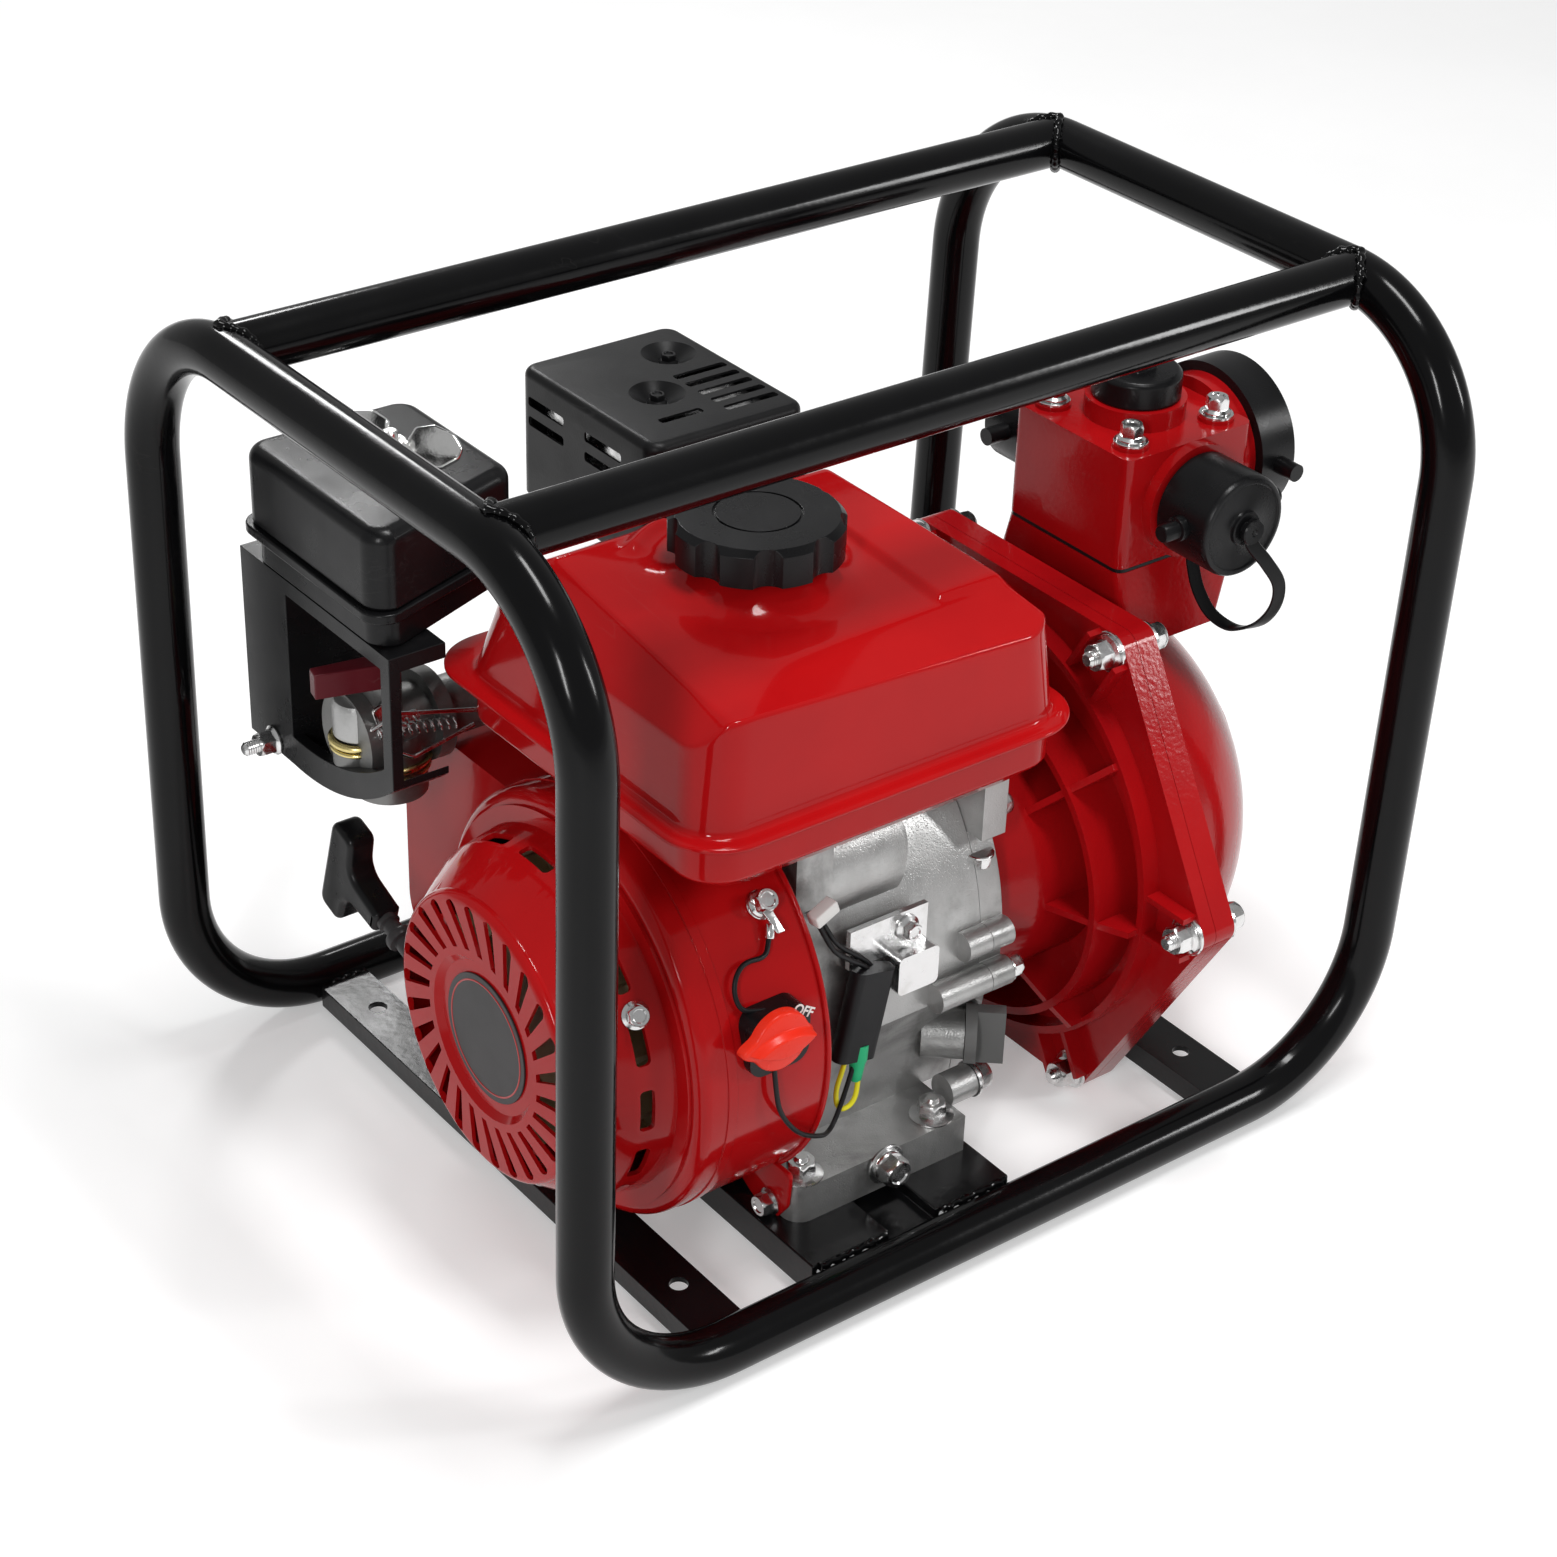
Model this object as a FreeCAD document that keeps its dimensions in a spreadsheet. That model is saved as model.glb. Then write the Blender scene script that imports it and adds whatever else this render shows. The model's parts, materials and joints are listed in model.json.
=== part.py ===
import FreeCAD, Part
import math
import os
import Sketcher
from FreeCAD import Placement, Rotation, Vector

# Engine-driven self-priming pump set in a bent tube carrying frame.
# X runs along the crankshaft, from the recoil starter (-X) to the pump (+X).
# -Y is the front, with switch and dipstick; +Y is the cylinder side; Z is up.
# The origin is on the floor, at the middle of the overall box.

doc = FreeCAD.newDocument("pump_set")

# Driving sizes, in millimetres and degrees
SIZES = {
    # carrying frame
    "tube_dia": 25.4,
    "frame_tall": 428.0,
    "frame_wide": 359.4,
    "left_post_x": -246.1,
    "right_post_x": 233.4,
    "left_lean": 3.2,
    "right_lean": 12.1,
    "bend_radius": 79.0,
    "bend_end_rise": 6.0,
    "rail_spread": 214.4,
    # plates across the bottom tubes
    "plate_thick": 3.0,
    "plate_top": 16.0,
    "plate_lip": 12.0,
    "weld_gap": 0.1,
    "cross_plate_wide": 28.0,
    "anchor_spacing_x": 319.0,
    "anchor_spacing_y": 269.0,
    "anchor_centre_x": -3.0,
    "anchor_hole_dia": 9.0,
    "anchor_edge": 13.0,
    "mount_plate_left": -109.0,
    "mount_plate_right": 11.0,
    "mount_pad_rise": 6.0,
    "mount_pad_wide": 46.0,
    # clearances
    "part_gap": 0.3,
    "seat_gap": 0.1,
    # crankcase, standing on the middle plate
    "crank_y": -51.7,
    "crank_rise": 106.0,
    "base_front": -139.0,
    "base_back": 44.0,
    "base_left": -88.4,
    "base_right": 5.5,
    "base_thick": 21.0,
    "foot_ear_dia": 20.0,
    "block_left": -96.7,
    "block_right": 22.0,
    "block_front": -122.0,
    "block_top": 216.0,
    "wall_slope": 9.0,
    "wall_step": 7.0,
    "wall_step_drop": 24.0,
    "wall_round": 114.0,
    "back_wall_inset": 10.0,
    "shoulder_back": 42.0,
    "starter_seat_dia": 60.0,
    "starter_seat_y": -88.0,
    "starter_seat_z": 190.0,
    "starter_seat_left": -74.0,
    "starter_seat_long": 50.0,
    "starter_seat_step": 6.0,
    "tank_post_front": -118.0,
    "tank_post_deep": 22.0,
    "tank_post_wide": 21.0,
    "tank_post_low": 184.0,
    "cover_post_wide": 15.0,
    "side_cover_thick": 14.0,
    "upper_boss_y": -124.5,
    "upper_boss_z": 133.0,
    "upper_boss_long": 14.0,
    "lower_boss_y": -126.5,
    "lower_boss_z": 111.0,
    "lower_boss_long": 31.0,
    "case_boss_dia": 15.0,
    "filler_x": 4.0,
    "filler_y": -104.0,
    "filler_z": 74.0,
    "filler_turn": 50.0,
    "filler_dia": 26.0,
    "filler_long": 21.0,
    "dipstick_cap_dia": 30.0,
    "dipstick_rim": 6.0,
    "dipstick_gap": 1.5,
    "dipstick_wing_long": 14.0,
    "dipstick_wing_thick": 7.0,
    "drain_y": -121.0,
    "drain_z": 47.0,
    "drain_dia": 17.0,
    "front_drain_x": -45.0,
    "front_drain_z": 37.0,
    # cylinder, lying back behind the crankcase
    "cylinder_tilt": 25.0,
    "cylinder_size": 84.0,
    "cylinder_start": 86.0,
    "cylinder_long": 46.0,
    "cylinder_x": -30.0,
    "cylinder_foot": 3.0,
    "barrel_inset": 10.0,
    "fin_thick": 2.0,
    "fin_pitch": 7.0,
    "fin_reach": 4.0,
    "fin_first": 9.0,
    "head_long": 26.0,
    "head_reach": 8.0,
    "valve_cover_inset": 6.0,
    "valve_cover_long": 22.0,
    # fan housing and recoil starter
    "fan_housing_dia": 210.0,
    "fan_housing_left": -168.0,
    "fan_housing_right": -97.0,
    "housing_sheet": 2.0,
    "housing_round": 7.0,
    "housing_bead": 0.6,
    "bead_x": -153.0,
    "bead_wide": 5.0,
    "shroud_left": -152.0,
    "shroud_top": 203.0,
    "shroud_back": 116.0,
    "shroud_bottom": 70.0,
    "shroud_corner": 26.0,
    "recoil_rim_dia": 196.0,
    "recoil_flange": 8.0,
    "recoil_shoulder_x": -190.0,
    "recoil_shoulder_in": 12.0,
    "recoil_face_dia": 143.0,
    "recoil_face_x": -215.2,
    "recoil_face_round": 5.0,
    "recoil_dish_dia": 82.0,
    "recoil_dish_deep": 3.0,
    "recoil_sheet": 2.0,
    "slot_count": 26,
    "slot_inner": 45.0,
    "slot_outer": 65.0,
    "slot_narrow": 4.0,
    "slot_wide": 7.5,
    "slot_slant": 9.0,
    "shoulder_slot_count": 16,
    "shoulder_slot_wide": 7.0,
    "shoulder_slot_long": 22.0,
    "badge_dia": 64.0,
    "badge_thick": 1.0,
    "fan_dia": 150.0,
    "fan_plate": 4.0,
    "fan_plate_x": -160.0,
    "fan_blade_long": 28.0,
    "fan_blade_thick": 3.0,
    "fan_blade_inner": 44.0,
    "fan_blade_count": 14,
    "fan_hub_dia": 30.0,
    "fan_hub_hole": 44.0,
    "starter_cup_dia": 76.0,
    "starter_cup_long": 22.0,
    # pull handle
    "handle_x": -198.0,
    "handle_guide_y": 48.0,
    "handle_guide_z": 122.0,
    "handle_tilt": 17.0,
    "handle_thick": 15.0,
    "handle_bar_long": 57.0,
    "handle_bar_wide": 21.0,
    "handle_stem_wide": 15.0,
    "handle_reach": 59.5,
    "guide_dia": 9.0,
    "guide_long": 12.0,
    "guide_root": 26.0,
    # fuel tank
    "tank_left": -175.0,
    "tank_right": 47.0,
    "tank_front": -162.0,
    "tank_back": 60.0,
    "tank_corner": 30.0,
    "tank_clear": 1.0,
    "tank_seam_wide": 9.0,
    "tank_seam_thick": 2.4,
    "tank_lower_deep": 30.0,
    "tank_lower_round": 10.0,
    "tank_upper_tall": 70.0,
    "tank_wall_tall": 48.0,
    "tank_back_seam": 20.0,
    "tank_draft": 4.0,
    "tank_top_slope": 30.0,
    "tank_back_slope": 18.0,
    "neck_x": -71.0,
    "neck_y": -59.0,
    "neck_dia": 58.0,
    "neck_foot_dia": 78.0,
    "neck_tall": 7.0,
    "cap_dia": 80.0,
    "cap_tall": 18.0,
    "cap_round": 3.0,
    "cap_notches": 9,
    "cap_notch_dia": 17.0,
    "cap_notch_deep": 3.5,
    "cap_disc_dia": 38.0,
    "cap_groove": 1.2,
    # exhaust
    "muffler_left": -52.0,
    "muffler_right": 40.0,
    "muffler_front": 48.0,
    "muffler_back": 163.0,
    "muffler_top": 342.0,
    "muffler_bottom": 275.0,
    "guard_gap": 6.0,
    "guard_sheet": 1.2,
    "guard_corner": 9.0,
    "guard_slot_wide": 5.0,
    "guard_slot_pitch": 10.5,
    "guard_slot_long": 31.0,
    "guard_slot_inset": 6.0,
    "guard_slot_near": 20.0,
    "dimple_dia": 12.0,
    "dimple_rim_dia": 28.0,
    "dimple_inset": 22.0,
    "dimple_back": 29.5,
    "dimple_left": 38.0,
    "dimple_front": 50.0,
    "pipe_dia": 24.0,
    "pipe_inset": 26.0,
    # air cleaner and carburettor
    "air_left": -218.0,
    "air_right": -122.0,
    "air_front": 26.0,
    "air_back": 150.0,
    "air_skew": 23.0,
    "air_top": 350.0,
    "air_split_z": 311.0,
    "air_bottom": 291.0,
    "air_rim": 2.5,
    "air_corner": 12.0,
    "air_top_round": 7.0,
    "air_stud_dia": 24.0,
    "wing_nut_dia": 14.0,
    "wing_nut_tall": 8.0,
    "wing_span": 44.0,
    "wing_thick": 3.0,
    "wing_taper": 1.0,
    "shield_thick": 6.0,
    "shield_low": 190.0,
    "shield_back": 158.0,
    "shield_front": 23.0,
    "shield_frame": 8.0,
    "duct_front": 116.0,
    "duct_deep": 44.0,
    "shelf_deep": 30.0,
    "shelf_thick": 4.0,
    "carb_y": 75.0,
    "carb_z": 223.0,
    "carb_dia": 34.0,
    "carb_flange_dia": 46.0,
    "carb_flange_thick": 8.0,
    "carb_right": -160.0,
    "intake_dia": 30.0,
    "bowl_x": -184.0,
    "bowl_dia": 36.0,
    "bowl_bottom": 189.0,
    "choke_x": -190.0,
    "choke_y": 60.0,
    "choke_z": 255.0,
    "choke_post_dia": 9.0,
    "choke_long": 38.0,
    "choke_wide": 12.0,
    "choke_tall": 13.0,
    "choke_turn": 13.0,
    # small pieces on the engine's front
    "switch_x": -127.5,
    "switch_z": 155.5,
    "switch_stand": 3.3,
    "switch_plate_wide": 33.0,
    "switch_plate_tall": 31.0,
    "switch_seat_in": 12.0,
    "knob_x": -130.5,
    "knob_z": 159.5,
    "knob_dia": 30.0,
    "knob_edge": 2.0,
    "knob_tall": 9.0,
    "knob_grip_wide": 7.0,
    "knob_grip_tall": 4.0,
    "knob_grip_reach": 7.0,
    "knob_grip_back": 3.0,
    "sensor_left": -39.0,
    "sensor_wide": 24.0,
    "sensor_low": 129.0,
    "sensor_tall": 21.0,
    "sensor_deep": 13.0,
    "clamp_wide": 46.0,
    "clamp_tall": 18.0,
    "clamp_thick": 3.0,
    "sleeve_x": -56.0,
    "sleeve_z": 124.5,
    "sleeve_long": 48.0,
    "sleeve_wide": 24.0,
    "sleeve_thick": 10.0,
    "sleeve_lean": 12.0,
    "lead_dia": 2.6,
    "lead_bend": 12.0,
    "terminal_x": -116.0,
    "terminal_z": 204.0,
    "lead_side_x": -143.0,
    "lead_side_z": 190.0,
    "lead_loop_z": 92.0,
    # pump
    "pump_y": -41.0,
    "pump_z": 136.5,
    "pump_bolt_circle": 282.0,
    "pump_joint_x": 110.0,
    "pump_ear_dia": 20.0,
    "adapter_flange": 8.0,
    "adapter_rim_dia": 238.0,
    "adapter_rim_left": 92.0,
    "adapter_wall": 4.0,
    "adapter_floor": 5.0,
    "hub_left_dia": 112.0,
    "hub_dia": 127.6,
    "hub_shoulder_x": 66.0,
    "ring_dia": 181.6,
    "ring_left": 77.0,
    "rib_count": 8,
    "rib_thick": 3.5,
    "ear_rib_thick": 3.0,
    "ear_rib_spread": 22.0,
    "casing_flange": 12.0,
    "pump_drum_dia": 238.0,
    "pump_drum_left": 126.0,
    "pump_dome_right": 208.0,
    "dome_face_dia": 110.0,
    "dome_round": 96.0,
    "suction_dia": 50.0,
    "suction_flange_dia": 92.0,
    "suction_right": 224.0,
    # discharge block
    "block_x": 172.0,
    "block_y": -41.0,
    "cube_wide": 82.0,
    "cube_top": 338.0,
    "cube_bottom": 280.0,
    "cube_corner": 5.0,
    "bolt_seat_inset": 13.0,
    "bolt_seat_dia": 18.0,
    "gasket_thick": 2.0,
    "neck_flare": 10.0,
    "neck_deep": 40.0,
    "plug_collar_dia": 50.0,
    "plug_collar_tall": 10.0,
    "plug_dia": 44.0,
    "plug_tall": 14.0,
    "side_collar_dia": 58.0,
    "side_collar_long": 6.0,
    "side_cap_dia": 52.0,
    "side_cap_long": 34.0,
    "main_collar_dia": 72.0,
    "main_collar_long": 10.0,
    "main_cap_dia": 82.0,
    "main_cap_long": 24.0,
    "cap_hub_dia": 13.0,
    "cap_hub_tall": 5.0,
    "cap_pin_dia": 9.0,
    "cap_pin_long": 12.0,
    "cap_edge": 2.0,
    "tether_wide": 7.0,
    "tether_thick": 1.6,
    "tether_drop": 38.0,
    "tether_bend": 8.0,
}

sheet = doc.addObject("Spreadsheet::Sheet", "sizes")
for row, (alias, value) in enumerate(SIZES.items(), start=1):
    sheet.set("A%d" % row, alias)
    sheet.set("B%d" % row, str(value))
    sheet.setAlias("B%d" % row, alias)
doc.recompute()

nodes = {}


def qualify(expression):
    """The expression with each alias written as sizes.alias."""
    out = ""
    word = ""
    for letter in str(expression) + " ":
        if letter.isalnum() or letter == "_":
            word += letter
        else:
            out += ("sizes." + word) if word in SIZES else word
            word = ""
            out += letter
    return out.strip()


def size(expression):
    """Value of an expression in the sheet's sizes."""
    if expression in SIZES:
        return float(getattr(sheet, expression))
    return float(sheet.evalExpression(qualify(expression)))


def bind(obj, path, expression):
    obj.setExpression(path, qualify(expression))


AXES = {"x": Vector(1, 0, 0), "y": Vector(0, 1, 0), "z": Vector(0, 0, 1)}


def newBody(label, x="0", y="0", z="0", axis="x", turn="0"):
    """A body whose own origin stands at x, y, z and is turned about one axis."""
    body = doc.addObject("PartDesign::Body", label)
    body.Label = label
    body.Placement = Placement(Vector(), Rotation(AXES[axis], 1))
    bind(body, "Placement.Rotation.Angle", turn)
    for name, value in zip("xyz", (x, y, z)):
        bind(body, "Placement.Base." + name, value)
    nodes[label] = body
    return body


def originPlane(body, role):
    return [part for part in body.Origin.OriginFeatures if part.Role == role][0]


def newSketch(body, role, offset, name, across="0", up="0"):
    """A sketch on an origin plane of the body, its own origin moved along and in the plane."""
    sketch = body.newObject("Sketcher::SketchObject", name)
    sketch.AttachmentSupport = [(originPlane(body, role), "")]
    sketch.MapMode = "FlatFace"
    bind(sketch, "AttachmentOffset.Base.x", across)
    bind(sketch, "AttachmentOffset.Base.y", up)
    bind(sketch, "AttachmentOffset.Base.z", offset)
    return sketch


def holdPoint(sketch, index, end, across, up):
    """Two constraints that bind a point of the sketch to two expressions."""
    for kind, value in (("DistanceX", across), ("DistanceY", up)):
        number = sketch.addConstraint(
            Sketcher.Constraint(kind, -1, 1, index, end, size(value)))
        bind(sketch, "Constraints[%d]" % number, value)


def arcBetween(start, stop, radius, side):
    """Arc of a circle from start to stop, bulging right of the way there for side 1, left for -1."""
    half = (stop - start) / 2
    right = Vector(half.y, -half.x, 0).normalize()
    centre = start + half - right * side * math.sqrt(max(radius * radius - half.Length ** 2, 0))
    first, last = (start, stop) if side > 0 else (stop, start)
    begin = math.atan2(first.y - centre.y, first.x - centre.x)
    finish = math.atan2(last.y - centre.y, last.x - centre.x)
    if finish < begin:
        finish += 2 * math.pi
    return Part.ArcOfCircle(Part.Circle(centre, Vector(0, 0, 1), radius), begin, finish)


def drawOutline(sketch, corners):
    """A closed outline; a corner is two expressions, and a third one, with its sign as
    fourth item, makes the side that follows an arc of that radius."""
    places = [Vector(size(corner[0]), size(corner[1]), 0) for corner in corners]
    first = sketch.GeometryCount
    starts = []
    ends = []
    for index, corner in enumerate(corners):
        here = places[index]
        there = places[(index + 1) % len(places)]
        if len(corner) == 2:
            sketch.addGeometry(Part.LineSegment(here, there), False)
            starts.append(1)
            ends.append(2)
        else:
            side = corner[3]
            sketch.addGeometry(arcBetween(here, there, size(corner[2]), side), False)
            starts.append(1 if side > 0 else 2)
            ends.append(2 if side > 0 else 1)
    for index, corner in enumerate(corners):
        after = (index + 1) % len(corners)
        sketch.addConstraint(Sketcher.Constraint(
            "Coincident", first + index, ends[index], first + after, starts[after]))
    for index, corner in enumerate(corners):
        holdPoint(sketch, first + index, starts[index], corner[0], corner[1])
        if len(corner) > 2:
            number = sketch.addConstraint(Sketcher.Constraint(
                "Radius", first + index, size(corner[2])))
            bind(sketch, "Constraints[%d]" % number, corner[2])


def drawBox(sketch, x1, y1, x2, y2):
    """A rectangle from its low to its high corner."""
    drawOutline(sketch, [(x1, y1), (x2, y1), (x2, y2), (x1, y2)])


def drawRounded(sketch, x1, y1, x2, y2, radius):
    """A rectangle from its low to its high corner, with its corners rounded."""
    low_x, high_x = "(%s) + %s" % (x1, radius), "(%s) - %s" % (x2, radius)
    low_y, high_y = "(%s) + %s" % (y1, radius), "(%s) - %s" % (y2, radius)
    drawOutline(sketch, [
        (low_x, y1), (high_x, y1, radius, 1), (x2, low_y), (x2, high_y, radius, 1),
        (high_x, y2), (low_x, y2, radius, 1), (x1, high_y), (x1, low_y, radius, 1)])


def drawCircle(sketch, across, up, diameter):
    """A circle bound to the place of its centre and its diameter."""
    centre = Vector(size(across), size(up), 0)
    index = sketch.addGeometry(Part.Circle(centre, Vector(0, 0, 1), size(diameter) / 2), False)
    holdPoint(sketch, index, 3, across, up)
    number = sketch.addConstraint(Sketcher.Constraint("Diameter", index, size(diameter)))
    bind(sketch, "Constraints[%d]" % number, diameter)


def pad(body, sketch, length, name, back=False):
    feature = body.newObject("PartDesign::Pad", name)
    feature.Profile = sketch
    feature.Reversed = back
    bind(feature, "Length", length)
    return feature


def pocket(body, sketch, length, name, back=False):
    feature = body.newObject("PartDesign::Pocket", name)
    feature.Profile = sketch
    feature.Reversed = back
    bind(feature, "Length", length)
    return feature


def revolve(body, sketch, axis, name, kind="PartDesign::Revolution"):
    feature = body.newObject(kind, name)
    feature.Profile = sketch
    feature.ReferenceAxis = (originPlane(body, axis), [""])
    feature.Angle = 360.0
    return feature


def ringPattern(body, features, count, name, sketch=None):
    """Copies of features around the body's X axis, or around a sketch's own normal."""
    pattern = body.newObject("PartDesign::PolarPattern", name)
    pattern.Originals = features
    pattern.Axis = (sketch, ["N_Axis"]) if sketch else (originPlane(body, "X_Axis"), [""])
    pattern.Angle = 360.0
    bind(pattern, "Occurrences", count)
    body.Tip = pattern
    return pattern


def roundEdges(body, base, radius, keep, name):
    """Fillet on the edges of the base feature for which keep is true."""
    doc.recompute()
    edges = ["Edge%d" % (number + 1) for number, edge in enumerate(base.Shape.Edges) if keep(edge)]
    feature = body.newObject("PartDesign::Fillet", name)
    feature.Base = (base, edges)
    bind(feature, "Radius", radius)
    return feature


def edgeAt(axis, place):
    """A test for edges that lie whole in the plane at a place along an axis."""
    wanted = size(place)

    def lies(edge):
        box = edge.BoundBox
        low = getattr(box, axis + "Min")
        high = getattr(box, axis + "Max")
        return abs(low - wanted) < 0.01 and abs(high - wanted) < 0.01
    return lies


def turned(label, profile, x="0", y="crank_y", z="plate_top + mount_pad_rise + crank_rise"):
    """A body of revolution about a line along X; the profile lists place along X and radius."""
    body = newBody(label, x, y, z)
    sketch = newSketch(body, "XZ_Plane", "0", label + "_profile")
    drawOutline(sketch, profile)
    revolve(body, sketch, "X_Axis", label + "_turn")
    return body


def uprightTurned(label, x, y, z, profile):
    """A body of revolution about an upright line; the profile lists radius and height."""
    body = newBody(label, x, y, z)
    sketch = newSketch(body, "XZ_Plane", "0", label + "_profile")
    drawOutline(sketch, profile)
    revolve(body, sketch, "Z_Axis", label + "_turn")
    return body


def frontTurned(label, x, y, z, profile, axis="x", turn="0"):
    """A body of revolution about a line along Y; the profile lists radius and place along Y."""
    body = newBody(label, x, y, z, axis, turn)
    sketch = newSketch(body, "XY_Plane", "0", label + "_profile")
    drawOutline(sketch, profile)
    revolve(body, sketch, "Y_Axis", label + "_turn")
    return body


def boxPad(body, name, plane, start, length, x1, y1, x2, y2, back=False):
    """A box added to the body on one of its planes."""
    sketch = newSketch(body, plane, start, name + "_outline")
    drawBox(sketch, x1, y1, x2, y2)
    return pad(body, sketch, length, name, back)


def discPad(body, name, plane, start, length, across, up, diameter, back=False):
    """A disc added to the body on one of its planes."""
    sketch = newSketch(body, plane, start, name + "_outline")
    drawCircle(sketch, across, up, diameter)
    return pad(body, sketch, length, name, back)


def tubePath(points, radii):
    """Straight runs joined by tangent arcs, one arc at each inner point."""
    edges = []
    last = points[0]
    for before, corner, after, radius in zip(points, points[1:], points[2:], radii):
        toward = (before - corner).normalize()
        away = (after - corner).normalize()
        half = toward.getAngle(away) / 2
        reach = radius / math.tan(half)
        start = corner + toward * reach
        stop = corner + away * reach
        middle = (toward + away).normalize()
        top = corner + middle * (radius / math.sin(half) - radius)
        edges.append(Part.LineSegment(last, start).toShape())
        edges.append(Part.Arc(start, top, stop).toShape())
        last = stop
    edges.append(Part.LineSegment(last, points[-1]).toShape())
    return Part.Wire(edges)


def addShape(label, shape):
    """A node whose shape is worked out from the sheet's sizes."""
    feature = doc.addObject("Part::Feature", label)
    feature.Label = label
    feature.Shape = shape
    nodes[label] = feature
    return feature


def alongPath(path, section):
    """The section face, given by place and direction, carried along each edge of the path."""
    pieces = []
    for edge in path.Edges:
        start = edge.valueAt(edge.FirstParameter)
        face = section(start, edge.tangentAt(edge.FirstParameter))
        if edge.Curve.TypeId == "Part::GeomCircle":
            turn = math.degrees(edge.Length / edge.Curve.Radius)
            middle = edge.valueAt((edge.FirstParameter + edge.LastParameter) / 2)
            stop = edge.valueAt(edge.LastParameter)
            normal = (middle - start).cross(stop - middle).normalize()
            pieces.append(face.revolve(edge.Curve.Center, normal, turn))
        else:
            pieces.append(face.extrude(edge.valueAt(edge.LastParameter) - start))
    return pieces[0].multiFuse(pieces[1:]).removeSplitter()


def tubeShape(points, radii, diameter):
    """A round bar along straight runs joined by tangent arcs."""
    def disc(start, along):
        return Part.Face(Part.Wire(Part.Circle(start, along, diameter / 2).toShape()))
    return alongPath(tubePath(points, radii), disc)


def tube(label, points, radii, diameter):
    return addShape(label, tubeShape(points, radii, diameter))


def trimmed(label, shape, others):
    """A node made of the largest solid that is left of a shape, clear of other nodes."""
    doc.recompute()
    rest = shape.cut([nodes[other].Shape for other in others])
    return addShape(label, max(rest.Solids, key=lambda solid: solid.Volume))


# Carrying frame
tube_radius = size("tube_dia") / 2
half_wide = size("frame_wide") / 2
low = tube_radius
high = size("frame_tall") - tube_radius
split_z = low + size("bend_radius") + size("bend_end_rise")


def hoopShape(side, diameter):
    """One end of the frame: front post, top bar and back post in a single bent tube."""
    x = size(side + "_post_x")
    lean = size(side + "_lean")
    shift = lean * (split_z - low) / (high - low)
    points = [Vector(x + shift, -half_wide, split_z), Vector(x + lean, -half_wide, high),
              Vector(x + lean, half_wide, high), Vector(x + shift, half_wide, split_z)]
    return tubeShape(points, [size("bend_radius")] * 2, diameter)


def bottomTube(label, y):
    """The tube on the floor along the long side, turned up at both ends."""
    share = (split_z - low) / (high - low)
    left = size("left_post_x")
    right = size("right_post_x")
    points = [Vector(left + size("left_lean") * share, y, split_z), Vector(left, y, low),
              Vector(right, y, low), Vector(right + size("right_lean") * share, y, split_z)]
    tube(label, points, [size("bend_radius")] * 2, size("tube_dia"))


def topRail(label, y):
    """Straight rail between the two top bars, its ends cut to sit on their round."""
    left = size("left_post_x") + size("left_lean")
    right = size("right_post_x") + size("right_lean")
    bar = Part.makeCylinder(tube_radius, right - left, Vector(left, y, high), Vector(1, 0, 0))
    ends = [hoopShape(side, size("tube_dia + 2 * weld_gap")) for side in ("left", "right")]
    addShape(label, max(bar.cut(ends).Solids, key=lambda solid: solid.Volume))


addShape("left_end_hoop", hoopShape("left", size("tube_dia")))
addShape("right_end_hoop", hoopShape("right", size("tube_dia")))
bottomTube("bottom_front_tube", -half_wide)
bottomTube("bottom_back_tube", half_wide)
topRail("front_top_rail", -size("rail_spread") / 2)
topRail("back_top_rail", size("rail_spread") / 2)

# Plates across the bottom tubes
plate_end = "(frame_wide / 2 - tube_dia / 2 - weld_gap)"


def crossPlate(label, side):
    """Flat plate with one edge folded down and an anchor hole near each end."""
    hole_x = "anchor_centre_x + (%d) * anchor_spacing_x / 2" % side
    inner = "(%s) + anchor_edge" % hole_x
    lip = "(%s) - cross_plate_wide" % inner
    body = newBody(label)
    sketch = newSketch(body, "XZ_Plane", plate_end, label + "_section")
    drawOutline(sketch, [
        (inner, "plate_top"), (lip, "plate_top"), (lip, "plate_top - plate_lip"),
        ("(%s) + plate_thick" % lip, "plate_top - plate_lip"),
        ("(%s) + plate_thick" % lip, "plate_top - plate_thick"), (inner, "plate_top - plate_thick")])
    pad(body, sketch, "2 * " + plate_end, label + "_pad", back=True)
    holes = newSketch(body, "XY_Plane", "plate_top", label + "_holes")
    drawCircle(holes, hole_x, "anchor_spacing_y / 2", "anchor_hole_dia")
    drawCircle(holes, hole_x, "-anchor_spacing_y / 2", "anchor_hole_dia")
    pocket(body, holes, "plate_thick", label + "_pocket")


crossPlate("left_cross_plate", -1)
crossPlate("right_cross_plate", 1)

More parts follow.
